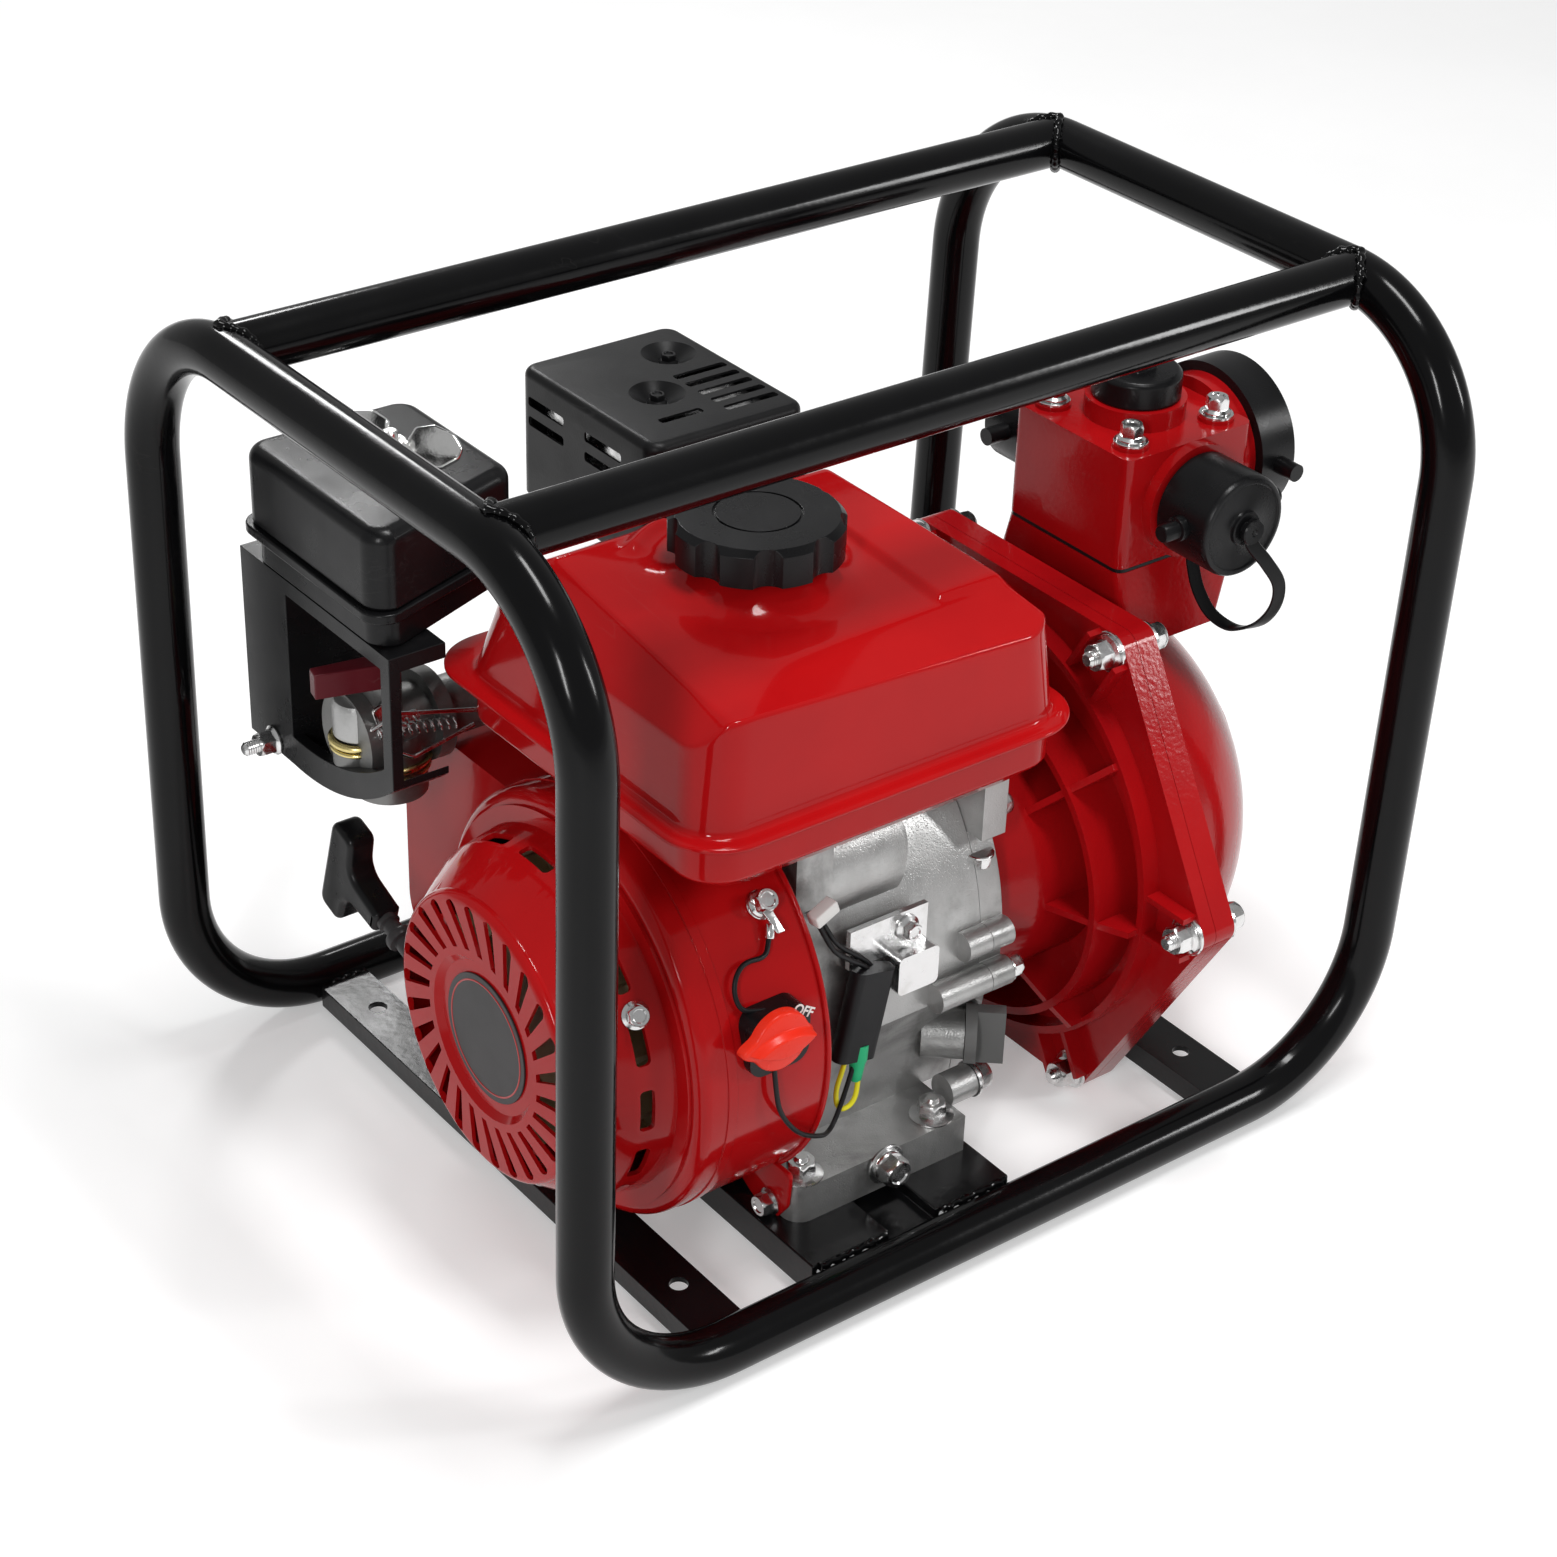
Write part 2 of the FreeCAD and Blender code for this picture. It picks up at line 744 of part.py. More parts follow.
# Middle plate with two raised pads, its long edges folded down
mount = newBody("engine_mount_plate")
section = newSketch(mount, "XZ_Plane", plate_end, "engine_mount_section")
pad_top = "plate_top + mount_pad_rise"
lip_low = "plate_top - plate_lip"
left_in = "mount_plate_left + mount_pad_wide"
right_in = "mount_plate_right - mount_pad_wide"
drawOutline(section, [
    ("mount_plate_left", lip_low), ("mount_plate_left", pad_top), (left_in, pad_top),
    (left_in, "plate_top"), (right_in, "plate_top"), (right_in, pad_top),
    ("mount_plate_right", pad_top), ("mount_plate_right", lip_low),
    ("mount_plate_right - plate_thick", lip_low),
    ("mount_plate_right - plate_thick", pad_top + " - plate_thick"),
    (right_in + " + plate_thick", pad_top + " - plate_thick"),
    (right_in + " + plate_thick", "plate_top - plate_thick"),
    (left_in + " - plate_thick", "plate_top - plate_thick"),
    (left_in + " - plate_thick", pad_top + " - plate_thick"),
    ("mount_plate_left + plate_thick", pad_top + " - plate_thick"),
    ("mount_plate_left + plate_thick", lip_low)])
pad(mount, section, "2 * " + plate_end, "engine_mount_pad", back=True)

# Crankcase and its side cover
base_z = "(plate_top + mount_pad_rise)"
base_top = "(plate_top + mount_pad_rise + base_thick)"
shaft_z = "(plate_top + mount_pad_rise + crank_rise)"
tank_floor = "(plate_top + mount_pad_rise + crank_rise + fan_housing_dia / 2 + tank_clear)"
tank_seam = "(%s + tank_lower_deep)" % tank_floor
seat_half = "(cylinder_size / 2 + cylinder_foot)"
seat_along = "(cylinder_start - part_gap)"


def onBore(along, across):
    """Place in the YZ plane of a point along the bore and square to it."""
    return ("crank_y + %s * cos(cylinder_tilt) - (%s) * sin(cylinder_tilt)" % (along, across),
            shaft_z + " + %s * sin(cylinder_tilt) + (%s) * cos(cylinder_tilt)" % (along, across))


def wallOutline(lowest):
    """Outline of crankcase and cover, seen along the shaft: front wall, round top, cylinder seat."""
    step_z = shaft_z + " - wall_step_drop"
    return [
        ("block_front + wall_step + wall_slope", lowest), ("block_front + wall_step", step_z),
        ("block_front", step_z), ("block_front", shaft_z, "wall_round", -1),
        ("block_front + shoulder_back", "block_top"), ("crank_y + shoulder_back", "block_top"),
        onBore(seat_along, seat_half), onBore(seat_along, "-" + seat_half),
        ("base_back - back_wall_inset", lowest)]


def sideBoss(body, name, y, z, start, length):
    """A round boss along the shaft's direction at the edge of the joint."""
    discPad(body, name, "YZ_Plane", start, length, y, z, "case_boss_dia")


crankcase = newBody("crankcase")
foot = newSketch(crankcase, "XY_Plane", base_z, "crankcase_foot")
drawBox(foot, "base_left", "base_front", "base_right", "base_back")
pad(crankcase, foot, "base_thick", "crankcase_foot_pad")
for name, ear_y in (("front_ear", "base_front + foot_ear_dia / 2"),
                    ("back_ear", "base_back - foot_ear_dia / 2")):
    discPad(crankcase, name, "XY_Plane", base_z, "base_thick", "base_left", ear_y, "foot_ear_dia")
wall = newSketch(crankcase, "YZ_Plane", "block_left", "crankcase_wall")
drawOutline(wall, wallOutline(base_top))
pad(crankcase, wall, "block_right - block_left", "crankcase_wall_pad")
discPad(crankcase, "starter_seat", "YZ_Plane", "starter_seat_left", "starter_seat_long",
        "starter_seat_y", "starter_seat_z", "starter_seat_dia")
discPad(crankcase, "starter_seat_end", "YZ_Plane", "starter_seat_left + starter_seat_long",
        "starter_seat_step", "starter_seat_y", "starter_seat_z", "starter_seat_dia - 2 * starter_seat_step")
boxPad(crankcase, "left_tank_post", "XY_Plane", "tank_post_low", tank_floor + " - part_gap - tank_post_low",
       "base_left", "tank_post_front", "base_left + tank_post_wide", "tank_post_front + tank_post_deep")
boxPad(crankcase, "back_tank_post", "XY_Plane", "block_top", tank_floor + " - part_gap - block_top",
       "block_right - tank_post_wide", "crank_y", "block_right", "crank_y + tank_post_deep")
sideBoss(crankcase, "upper_boss", "upper_boss_y", "upper_boss_z", "block_right - upper_boss_long",
         "upper_boss_long")
sideBoss(crankcase, "lower_boss", "lower_boss_y", "lower_boss_z", "block_right - lower_boss_long",
         "lower_boss_long")
discPad(crankcase, "drain_boss", "YZ_Plane", "base_right", "block_right - base_right - part_gap",
        "drain_y", "drain_z", "drain_dia")
discPad(crankcase, "front_drain_boss", "XZ_Plane", "-base_front", "housing_bead",
        "front_drain_x", "front_drain_z", "drain_dia")

cover = newBody("crankcase_side_cover_blank")
rim = newSketch(cover, "YZ_Plane", "block_right + part_gap", "side_cover_outline")
drawOutline(rim, wallOutline(base_top))
pad(cover, rim, "side_cover_thick - part_gap", "side_cover_pad")
boxPad(cover, "right_tank_post", "XY_Plane", "tank_post_low", tank_floor + " - part_gap - tank_post_low",
       "block_right + part_gap", "tank_post_front", "block_right + cover_post_wide",
       "tank_post_front + tank_post_deep")
sideBoss(cover, "upper_cover_boss", "upper_boss_y", "upper_boss_z", "block_right + part_gap",
         "side_cover_thick - part_gap")
sideBoss(cover, "lower_cover_boss", "lower_boss_y", "lower_boss_z", "block_right + part_gap",
         "side_cover_thick - part_gap")
filler = frontTurned("dipstick_cap", "filler_x", "filler_y", "filler_z", [
    ("0", "-filler_long - part_gap"), ("dipstick_cap_dia / 2", "-filler_long - part_gap"),
    ("dipstick_cap_dia / 2", "-filler_long - dipstick_rim"), ("0", "-filler_long - dipstick_rim")],
    axis="z", turn="filler_turn")
boxPad(filler, "dipstick_wing", "XZ_Plane", "filler_long + dipstick_rim - seat_gap", "dipstick_wing_long",
       "-dipstick_wing_thick / 2", "-dipstick_cap_dia / 2", "dipstick_wing_thick / 2", "dipstick_cap_dia / 2")
neck_tool = newBody("filler_tube", "filler_x", "filler_y", "filler_z", "z", "filler_turn")
discPad(neck_tool, "filler_tube_pad", "XZ_Plane", "0", "filler_long", "0", "0", "filler_dia")
neck_space = newBody("filler_space", "filler_x", "filler_y", "filler_z", "z", "filler_turn")
discPad(neck_space, "filler_space_pad", "XZ_Plane", "-filler_dia", "2 * (filler_long + filler_dia)",
        "0", "0", "dipstick_cap_dia + 2 * dipstick_gap")
doc.recompute()
del nodes["filler_tube"], nodes["filler_space"], nodes["crankcase_side_cover_blank"]


def joined(label, kind, base, tool):
    """A node made of two bodies by one boolean."""
    base.Label = label + "_body"
    result = doc.addObject(kind, label)
    result.Label = label
    result.Base = base
    result.Tool = tool
    nodes[label] = result


joined("crankcase", "Part::Fuse", crankcase, neck_tool)
joined("crankcase_side_cover", "Part::Cut", cover, neck_space)


# Cylinder, head and valve cover
def tilted(label, pads):
    """Blocks on the cylinder's own axis: half sizes across and square to it, start, length."""
    body = newBody(label, "cylinder_x", "crank_y", shaft_z, "x", "cylinder_tilt")
    for number, (half_x, half_z, along, length) in enumerate(pads):
        boxPad(body, "%s_%d" % (label, number), "XZ_Plane", "-(%s)" % along, length,
               "-(%s)" % half_x, "-(%s)" % half_z, half_x, half_z, back=True)
    return body


barrel = "cylinder_size / 2 - barrel_inset"
fin_half = "cylinder_size / 2 + fin_reach"
fins = [(barrel, barrel, "cylinder_start", "cylinder_long")]
fins += [(fin_half, "cylinder_size / 2", "cylinder_start + fin_first + %d * fin_pitch" % number,
          "fin_thick") for number in range(5)]
head_start = "cylinder_start + cylinder_long + seat_gap"
cover_start = head_start + " + head_long + seat_gap"
tilted("cylinder", fins)
tilted("cylinder_head", [("cylinder_size / 2 + head_reach", "cylinder_size / 2 - seat_gap", head_start,
                          "head_long")])
tilted("valve_cover", [("cylinder_size / 2", "cylinder_size / 2 - valve_cover_inset", cover_start,
                        "valve_cover_long")])

# Fan housing with the shroud that leads the air to the cylinder
housing = newBody("fan_housing", "0", "crank_y", shaft_z)
drum = newSketch(housing, "XZ_Plane", "0", "fan_housing_profile")
edge_r = "fan_housing_dia / 2"
drawOutline(drum, [
    ("fan_housing_right", "0"), ("fan_housing_right", edge_r), ("bead_x + bead_wide", edge_r),
    ("bead_x + bead_wide", edge_r + " + housing_bead"), ("bead_x", edge_r + " + housing_bead"),
    ("bead_x", edge_r), ("fan_housing_left + housing_round", edge_r, "housing_round", 1),
    ("fan_housing_left", edge_r + " - housing_round"), ("fan_housing_left", "0")])
revolve(housing, drum, "X_Axis", "fan_housing_turn")


def shroudOutline(inset):
    """Outline of the shroud, seen along the shaft, drawn in from its outer face."""
    back = "shroud_back - crank_y - (%s)" % inset
    top = "shroud_top - %s - (%s)" % (shaft_z, inset)
    bottom = "shroud_bottom - %s + (%s)" % (shaft_z, inset)
    return [("0", bottom), (back + " - shroud_corner", bottom, "shroud_corner", 1),
            (back, bottom + " + shroud_corner"),
            (back, top + " - shroud_corner", "shroud_corner", 1), (back + " - shroud_corner", top),
            ("0", top)]


shroud = newSketch(housing, "YZ_Plane", "shroud_left", "shroud_outline")
drawOutline(shroud, shroudOutline("0"))
pad(housing, shroud, "fan_housing_right - shroud_left", "shroud_pad")
drum_inside = newSketch(housing, "XZ_Plane", "0", "fan_housing_inside")
drawOutline(drum_inside, [
    ("fan_housing_right - housing_sheet", "0"),
    ("fan_housing_right - housing_sheet", edge_r + " - housing_sheet"),
    ("fan_housing_left + housing_round", edge_r + " - housing_sheet"),
    ("fan_housing_left + housing_sheet", edge_r + " - housing_round"),
    ("fan_housing_left + housing_sheet", "recoil_rim_dia / 2 - recoil_flange"),
    ("fan_housing_left", "recoil_rim_dia / 2 - recoil_flange"), ("fan_housing_left", "0")])
revolve(housing, drum_inside, "X_Axis", "fan_housing_hollow", "PartDesign::Groove")
inside = newSketch(housing, "YZ_Plane", "shroud_left + housing_sheet", "shroud_inside")
drawOutline(inside, shroudOutline("housing_sheet"))
pocket(housing, inside, "fan_housing_right - shroud_left - 2 * housing_sheet", "shroud_hollow", back=True)
shaft_hole = newSketch(housing, "YZ_Plane", "fan_housing_right", "fan_housing_shaft_hole")
drawCircle(shaft_hole, "0", "0", "fan_hub_hole")
pocket(housing, shaft_hole, "housing_sheet", "fan_housing_hole")

# Recoil cover with its ring of slanted slots
recoil = newBody("recoil_cover", "0", "crank_y", shaft_z)
shell = newSketch(recoil, "XZ_Plane", "0", "recoil_profile")
rim_r = "recoil_rim_dia / 2"
face_r = "recoil_face_dia / 2"
dish_r = "recoil_dish_dia / 2"
shoulder_r = "recoil_rim_dia / 2 - recoil_shoulder_in"
face_in = "recoil_face_x + recoil_face_round"
drawOutline(shell, [
    ("fan_housing_left - seat_gap", rim_r), ("fan_housing_left - recoil_sheet", rim_r),
    ("fan_housing_left - recoil_sheet", rim_r + " - recoil_flange"), ("recoil_shoulder_x", shoulder_r),
    (face_in, face_r, "recoil_face_round", 1), ("recoil_face_x", face_r + " - recoil_face_round"),
    ("recoil_face_x", dish_r), ("recoil_face_x + recoil_dish_deep", dish_r + " - recoil_dish_deep"),
    ("recoil_face_x + recoil_dish_deep", "0"), ("recoil_face_x + recoil_dish_deep + recoil_sheet", "0"),
    ("recoil_face_x + recoil_dish_deep + recoil_sheet", dish_r + " - recoil_dish_deep"),
    ("recoil_face_x + recoil_sheet", dish_r + " + recoil_sheet"),
    ("recoil_face_x + recoil_sheet", face_r + " - recoil_face_round"),
    (face_in, face_r + " - recoil_sheet"),
    ("recoil_shoulder_x + recoil_sheet", shoulder_r + " - recoil_sheet"),
    ("fan_housing_left - seat_gap", rim_r + " - recoil_flange - recoil_sheet")])
revolve(recoil, shell, "X_Axis", "recoil_turn")
slot = newSketch(recoil, "YZ_Plane", "recoil_face_x", "recoil_slot_outline")
drawOutline(slot, [
    ("-slot_narrow / 2", "slot_inner"), ("slot_narrow / 2", "slot_inner"),
    ("slot_slant + slot_wide / 2", "slot_outer", "slot_wide / 1.8", 1),
    ("slot_slant - slot_wide / 2", "slot_outer")])
slot_cut = pocket(recoil, slot, "recoil_face_round", "recoil_slot", back=True)
ringPattern(recoil, [slot_cut], "slot_count", "recoil_slots")
side_slot = newSketch(recoil, "XY_Plane", shoulder_r + " - recoil_flange", "shoulder_slot_outline")
drawRounded(side_slot, "recoil_shoulder_x + 1.2 * recoil_sheet", "-shoulder_slot_long / 2",
            "recoil_shoulder_x + 1.2 * recoil_sheet + shoulder_slot_wide",
            "shoulder_slot_long / 2", "shoulder_slot_wide / 3")
side_cut = pocket(recoil, side_slot, "recoil_shoulder_in + recoil_flange", "shoulder_slot", back=True)
ringPattern(recoil, [side_cut], "shoulder_slot_count", "shoulder_slots")
badge_back = "recoil_face_x + recoil_dish_deep - seat_gap"
turned("recoil_badge", [
    (badge_back, "0"), (badge_back, "badge_dia / 2"), (badge_back + " - badge_thick", "badge_dia / 2"),
    (badge_back + " - badge_thick", "0")])

# Flywheel fan: back plate, curved ring of blades, starter cup and hub
fan = turned("flywheel_fan", [
    ("fan_plate_x", "0"), ("fan_plate_x", "fan_dia / 2"), ("fan_plate_x + fan_plate", "fan_dia / 2"),
    ("fan_plate_x + fan_plate", "fan_hub_dia / 2"), ("block_left - part_gap", "fan_hub_dia / 2"),
    ("block_left - part_gap", "0")])
blade = newSketch(fan, "YZ_Plane", "fan_plate_x", "fan_blade_outline")
drawBox(blade, "-fan_blade_thick / 2", "fan_blade_inner", "fan_blade_thick / 2",
        "fan_dia / 2 - fan_blade_thick / 2")
blade_pad = pad(fan, blade, "fan_blade_long", "fan_blade", back=True)
ringPattern(fan, [blade_pad], "fan_blade_count", "fan_blades")
discPad(fan, "starter_cup", "YZ_Plane", "fan_plate_x", "starter_cup_long", "0", "0", "starter_cup_dia",
        back=True)

# Pull handle and the guide that its rope comes out of
handle = newBody("starter_handle", "handle_x", "handle_guide_y", "handle_guide_z", "x", "handle_tilt")
discPad(handle, "rope_guide", "XZ_Plane", "guide_root", "guide_root + guide_long", "0", "0", "guide_dia",
        back=True)
boxPad(handle, "handle_stem", "XZ_Plane", "-(guide_long - seat_gap)", "handle_reach - guide_long",
       "-handle_thick / 2", "-handle_stem_wide / 2", "handle_thick / 2", "handle_stem_wide / 2", back=True)
bar = boxPad(handle, "handle_bar", "XZ_Plane", "-(handle_reach - handle_bar_wide)", "handle_bar_wide",
             "-handle_thick / 2", "-handle_bar_long / 2",
             "handle_thick / 2", "handle_bar_long / 2", back=True)
cover_space = turned("recoil_space", [
    ("fan_housing_left", "0"), ("fan_housing_left", rim_r + " + part_gap"),
    ("recoil_shoulder_x", shoulder_r + " + part_gap"),
    (face_in, face_r + " + part_gap"), ("recoil_face_x", face_r + " + part_gap"), ("recoil_face_x", "0")])
del nodes["recoil_space"]
joined("starter_handle", "Part::Cut", handle, cover_space)

# Fuel tank, two pressed halves on a seam
def tankRing(side, back, corner):
    """The tank's level outline, drawn in from the seam's edge."""
    return ("tank_left + (%s)" % side, "tank_front + (%s)" % side,
            "tank_right - (%s)" % side, "tank_back - (%s)" % back, corner)


def lofted(label, rings):
    """A body lofted through level outlines with round corners, each given with its height."""
    body = newBody(label)
    sketches = []
    for number, (ring, z) in enumerate(rings):
        sketch = newSketch(body, "XY_Plane", z, "%s_ring_%d" % (label, number))
        drawRounded(sketch, *ring)
        sketches.append(sketch)
    loft = body.newObject("PartDesign::AdditiveLoft", label + "_loft")
    loft.Profile = sketches[0]
    loft.Sections = sketches[1:]
    loft.Ruled = True
    return body


body_corner = "(tank_corner - tank_seam_wide)"
wall_z = tank_seam + " + tank_wall_tall"
tank_top = tank_seam + " + tank_upper_tall"
lofted("fuel_tank_lower", [
    (tankRing("tank_seam_wide + tank_lower_round", "tank_back_seam + tank_lower_round", body_corner),
     tank_floor),
    (tankRing("tank_seam_wide", "tank_back_seam", body_corner), tank_floor + " + tank_lower_round"),
    (tankRing("tank_seam_wide", "tank_back_seam", body_corner), tank_seam + " - seat_gap")])
upper = lofted("fuel_tank_upper", [
    (tankRing("tank_seam_wide", "tank_back_seam", body_corner), tank_seam),
    (tankRing("tank_seam_wide + tank_draft", "tank_back_seam + tank_back_slope", body_corner), wall_z),
    (tankRing("tank_seam_wide + tank_top_slope", "tank_back_seam + tank_back_slope + tank_draft",
              body_corner), tank_top)])
seam = newSketch(upper, "XY_Plane", tank_seam, "tank_seam_outline")
drawRounded(seam, *tankRing("0", "0", "tank_corner"))
pad(upper, seam, "tank_seam_thick", "tank_seam_pad")
neck_cone = newSketch(upper, "XZ_Plane", "-neck_y", "tank_neck_profile", "neck_x")
drawOutline(neck_cone, [
    ("0", tank_top + " - neck_tall"), ("neck_foot_dia / 2", tank_top + " - neck_tall"),
    ("neck_dia / 2", tank_top + " + neck_tall"), ("0", tank_top + " + neck_tall")])
neck_turn = upper.newObject("PartDesign::Revolution", "tank_neck")
neck_turn.Profile = neck_cone
neck_turn.ReferenceAxis = (neck_cone, ["V_Axis"])
neck_turn.Angle = 360.0

cap = uprightTurned("fuel_cap", "neck_x", "neck_y", tank_top + " + neck_tall + part_gap", [
    ("0", "0"), ("cap_dia / 2", "0"), ("cap_dia / 2", "cap_tall - cap_round"),
    ("cap_dia / 2 - cap_round", "cap_tall"), ("cap_disc_dia / 2 + cap_groove", "cap_tall"),
    ("cap_disc_dia / 2 + cap_groove", "cap_tall - cap_groove"),
    ("cap_disc_dia / 2", "cap_tall - cap_groove"),
    ("cap_disc_dia / 2", "cap_tall"), ("0", "cap_tall")])
notch = newSketch(cap, "XY_Plane", "0", "cap_notch_outline")
drawCircle(notch, "cap_dia / 2 + cap_notch_dia / 2 - cap_notch_deep", "0", "cap_notch_dia")
notch_cut = pocket(cap, notch, "cap_tall", "cap_notch", back=True)
ringPattern(cap, [notch_cut], "cap_notches", "cap_notches_ring", notch)

# Exhaust: silencer inside a slotted guard
block_in = "guard_sheet + guard_gap"
silencer = newBody("muffler")
can = newSketch(silencer, "XY_Plane", "muffler_bottom", "muffler_outline")
drawRounded(can, "muffler_left + " + block_in, "muffler_front + " + block_in,
            "muffler_right - guard_sheet - guard_gap",
            "muffler_back - guard_sheet - guard_gap", "guard_corner")
pad(silencer, can, "muffler_top - muffler_bottom - guard_sheet - guard_gap", "muffler_pad")
guard = newBody("muffler_guard")
shell = newSketch(guard, "XY_Plane", "muffler_bottom", "muffler_guard_outline")
drawRounded(shell, "muffler_left", "muffler_front", "muffler_right", "muffler_back", "guard_corner")
guard_pad = pad(guard, shell, "muffler_top - muffler_bottom", "muffler_guard_pad")
guard_round = roundEdges(guard, guard_pad, "guard_corner / 2", edgeAt("Z", "muffler_top"),
                         "muffler_guard_round")
hollow = newSketch(guard, "XY_Plane", "muffler_bottom", "muffler_guard_inside")
drawRounded(hollow, "muffler_left + guard_sheet", "muffler_front + guard_sheet",
            "muffler_right - guard_sheet",
            "muffler_back - guard_sheet", "guard_corner - guard_sheet")
pocket(guard, hollow, "muffler_top - muffler_bottom - guard_corner / 2 - guard_sheet",
       "muffler_guard_hollow", back=True)
step = newSketch(guard, "XY_Plane", "muffler_top - guard_corner / 2 - guard_sheet",
                 "muffler_guard_inner_top")
drawRounded(step, "muffler_left + guard_corner / 2", "muffler_front + guard_corner / 2",
            "muffler_right - guard_corner / 2", "muffler_back - guard_corner / 2", "guard_corner / 2")
pocket(guard, step, "guard_corner / 2", "muffler_guard_top_hollow", back=True)
top_slots = newSketch(guard, "XY_Plane", "muffler_top", "muffler_top_slots")
slot_end = "muffler_right - guard_slot_inset"
for row in range(5):
    near_y = "muffler_front + guard_slot_near + (%d) * guard_slot_pitch" % row
    drawRounded(top_slots, slot_end + " - guard_slot_long", near_y + " - guard_slot_wide", slot_end, near_y,
                "guard_slot_wide / 3")
drawRounded(top_slots, "muffler_left + guard_slot_near", "muffler_front + guard_slot_near",
            "muffler_left + guard_slot_near + 0.8 * guard_slot_long",
            "muffler_front + guard_slot_near + guard_slot_wide", "guard_slot_wide / 3")
pocket(guard, top_slots, "guard_corner / 2", "muffler_top_slot_cut")
side_slots = newSketch(guard, "YZ_Plane", "muffler_left", "muffler_side_slots")
for row in range(2):
    high_z = "muffler_top - 1.5 * guard_corner - (%d) * guard_slot_pitch" % row
    for column in range(2):
        near_y = ("muffler_front + guard_slot_near + guard_slot_inset"
                  " + (%d) * (guard_slot_long + 2 * guard_corner)" % column)
        drawRounded(side_slots, near_y, high_z + " - guard_slot_wide", near_y + " + guard_slot_long", high_z,
                    "guard_slot_wide / 3")
pocket(guard, side_slots, "guard_sheet", "muffler_side_slot_cut", back=True)


def guardTurn(name, kind, x, y, profile):
    """Solid added to the guard or cut from it, turned about an upright line; height from the guard's top."""
    sketch = newSketch(guard, "XZ_Plane", "-(%s)" % y, name + "_profile", x)
    drawOutline(sketch, [(across, "muffler_top + (%s)" % height) for across, height in profile])
    turn = guard.newObject(kind, name)
    turn.Profile = sketch
    turn.ReferenceAxis = (sketch, ["V_Axis"])
    turn.Angle = 360.0


dimple_low = "seat_gap - guard_sheet - guard_gap"
for number, (x, y) in enumerate((("muffler_right - dimple_inset", "muffler_back - dimple_back"),
                                 ("muffler_left + dimple_left", "muffler_front + dimple_front"))):
    guardTurn("dimple_%d" % number, "PartDesign::Revolution", x, y, [
        ("0", dimple_low), ("dimple_dia / 2", dimple_low), ("dimple_rim_dia / 2", "-guard_sheet / 2"),
        ("0", "-guard_sheet / 2")])
    guardTurn("dimple_hollow_%d" % number, "PartDesign::Groove", x, y, [
        ("0", dimple_low + " + guard_sheet"),
        ("dimple_dia / 2 - guard_sheet / 2", dimple_low + " + guard_sheet"),
        ("dimple_rim_dia / 2", "0"), ("0", "0")])
pipe_y = "(muffler_front + pipe_inset)"
pipe_foot = shaft_z + " + (" + pipe_y + " - crank_y) * tan(cylinder_tilt)"
pipe = trimmed("exhaust_pipe", Part.makeCylinder(
    size("pipe_dia") / 2, size("muffler_bottom - (" + pipe_foot + ")"),
    Vector(size("cylinder_x"), size(pipe_y), size(pipe_foot))), ["cylinder", "cylinder_head", "valve_cover"])
del nodes["exhaust_pipe"]
joined("muffler", "Part::Fuse", silencer, pipe)


# Air cleaner: cover and base share a skewed outline
def skewOutline(sketch, inset):
    """Four corners, the front one at the right drawn back, each with a round."""
    left, right = "air_left + (%s)" % inset, "air_right - (%s)" % inset
    front, back = "air_front + (%s)" % inset, "air_back - (%s)" % inset
    drawOutline(sketch, [
        (left, front + " + air_corner", "air_corner", 1), (left + " + air_corner", front),
        (right + " - air_corner", front + " + air_skew", "air_corner", 1),
        (right, front + " + air_skew + air_corner"), (right, back + " - air_corner", "air_corner", 1),
        (right + " - air_corner", back), (left + " + air_corner", back, "air_corner", 1),
        (left, back + " - air_corner")])


air_cover = newBody("air_cleaner_cover")
shell = newSketch(air_cover, "XY_Plane", "air_split_z", "air_cover_outline")
skewOutline(shell, "air_rim")
cover_pad = pad(air_cover, shell, "air_top - air_split_z", "air_cover_pad")
roundEdges(air_cover, cover_pad, "air_top_round", edgeAt("Z", "air_top"), "air_cover_round")
air_base = newBody("air_cleaner_base")
tray = newSketch(air_base, "XY_Plane", "air_bottom", "air_base_outline")
skewOutline(tray, "2 * air_rim")
pad(air_base, tray, "air_split_z - air_bottom - part_gap", "air_base_pad")
lip = newSketch(air_base, "XY_Plane", "air_split_z - part_gap - 2 * air_rim", "air_base_lip_outline")
skewOutline(lip, "0")
pad(air_base, lip, "2 * air_rim", "air_base_lip")

nut_x = "(air_left + air_right) / 2"
nut_y = "(air_front + air_back) / 2"
nut = uprightTurned("wing_nut", nut_x, nut_y, "air_top + seat_gap", [
    ("0", "0"), ("air_stud_dia / 2", "0"), ("air_stud_dia / 2", "wing_thick / 2"),
    ("wing_nut_dia / 2", "wing_thick / 2"), ("wing_nut_dia / 2 - wing_taper", "wing_nut_tall"),
    ("0", "wing_nut_tall")])
wings = newSketch(nut, "XZ_Plane", "-wing_thick / 2", "wing_outline")
drawOutline(wings, [
    ("-wing_nut_dia / 3", "wing_thick / 2"), ("wing_nut_dia / 3", "wing_thick / 2"),
    ("wing_span / 2", "wing_nut_tall"),
    ("wing_span / 2 - wing_thick", "2 * wing_nut_tall"), ("wing_nut_dia / 3", "wing_nut_tall"),
    ("-wing_nut_dia / 3", "wing_nut_tall"), ("wing_thick - wing_span / 2", "2 * wing_nut_tall"),
    ("-wing_span / 2", "wing_nut_tall")])
pad(nut, wings, "wing_thick", "wing_pad")

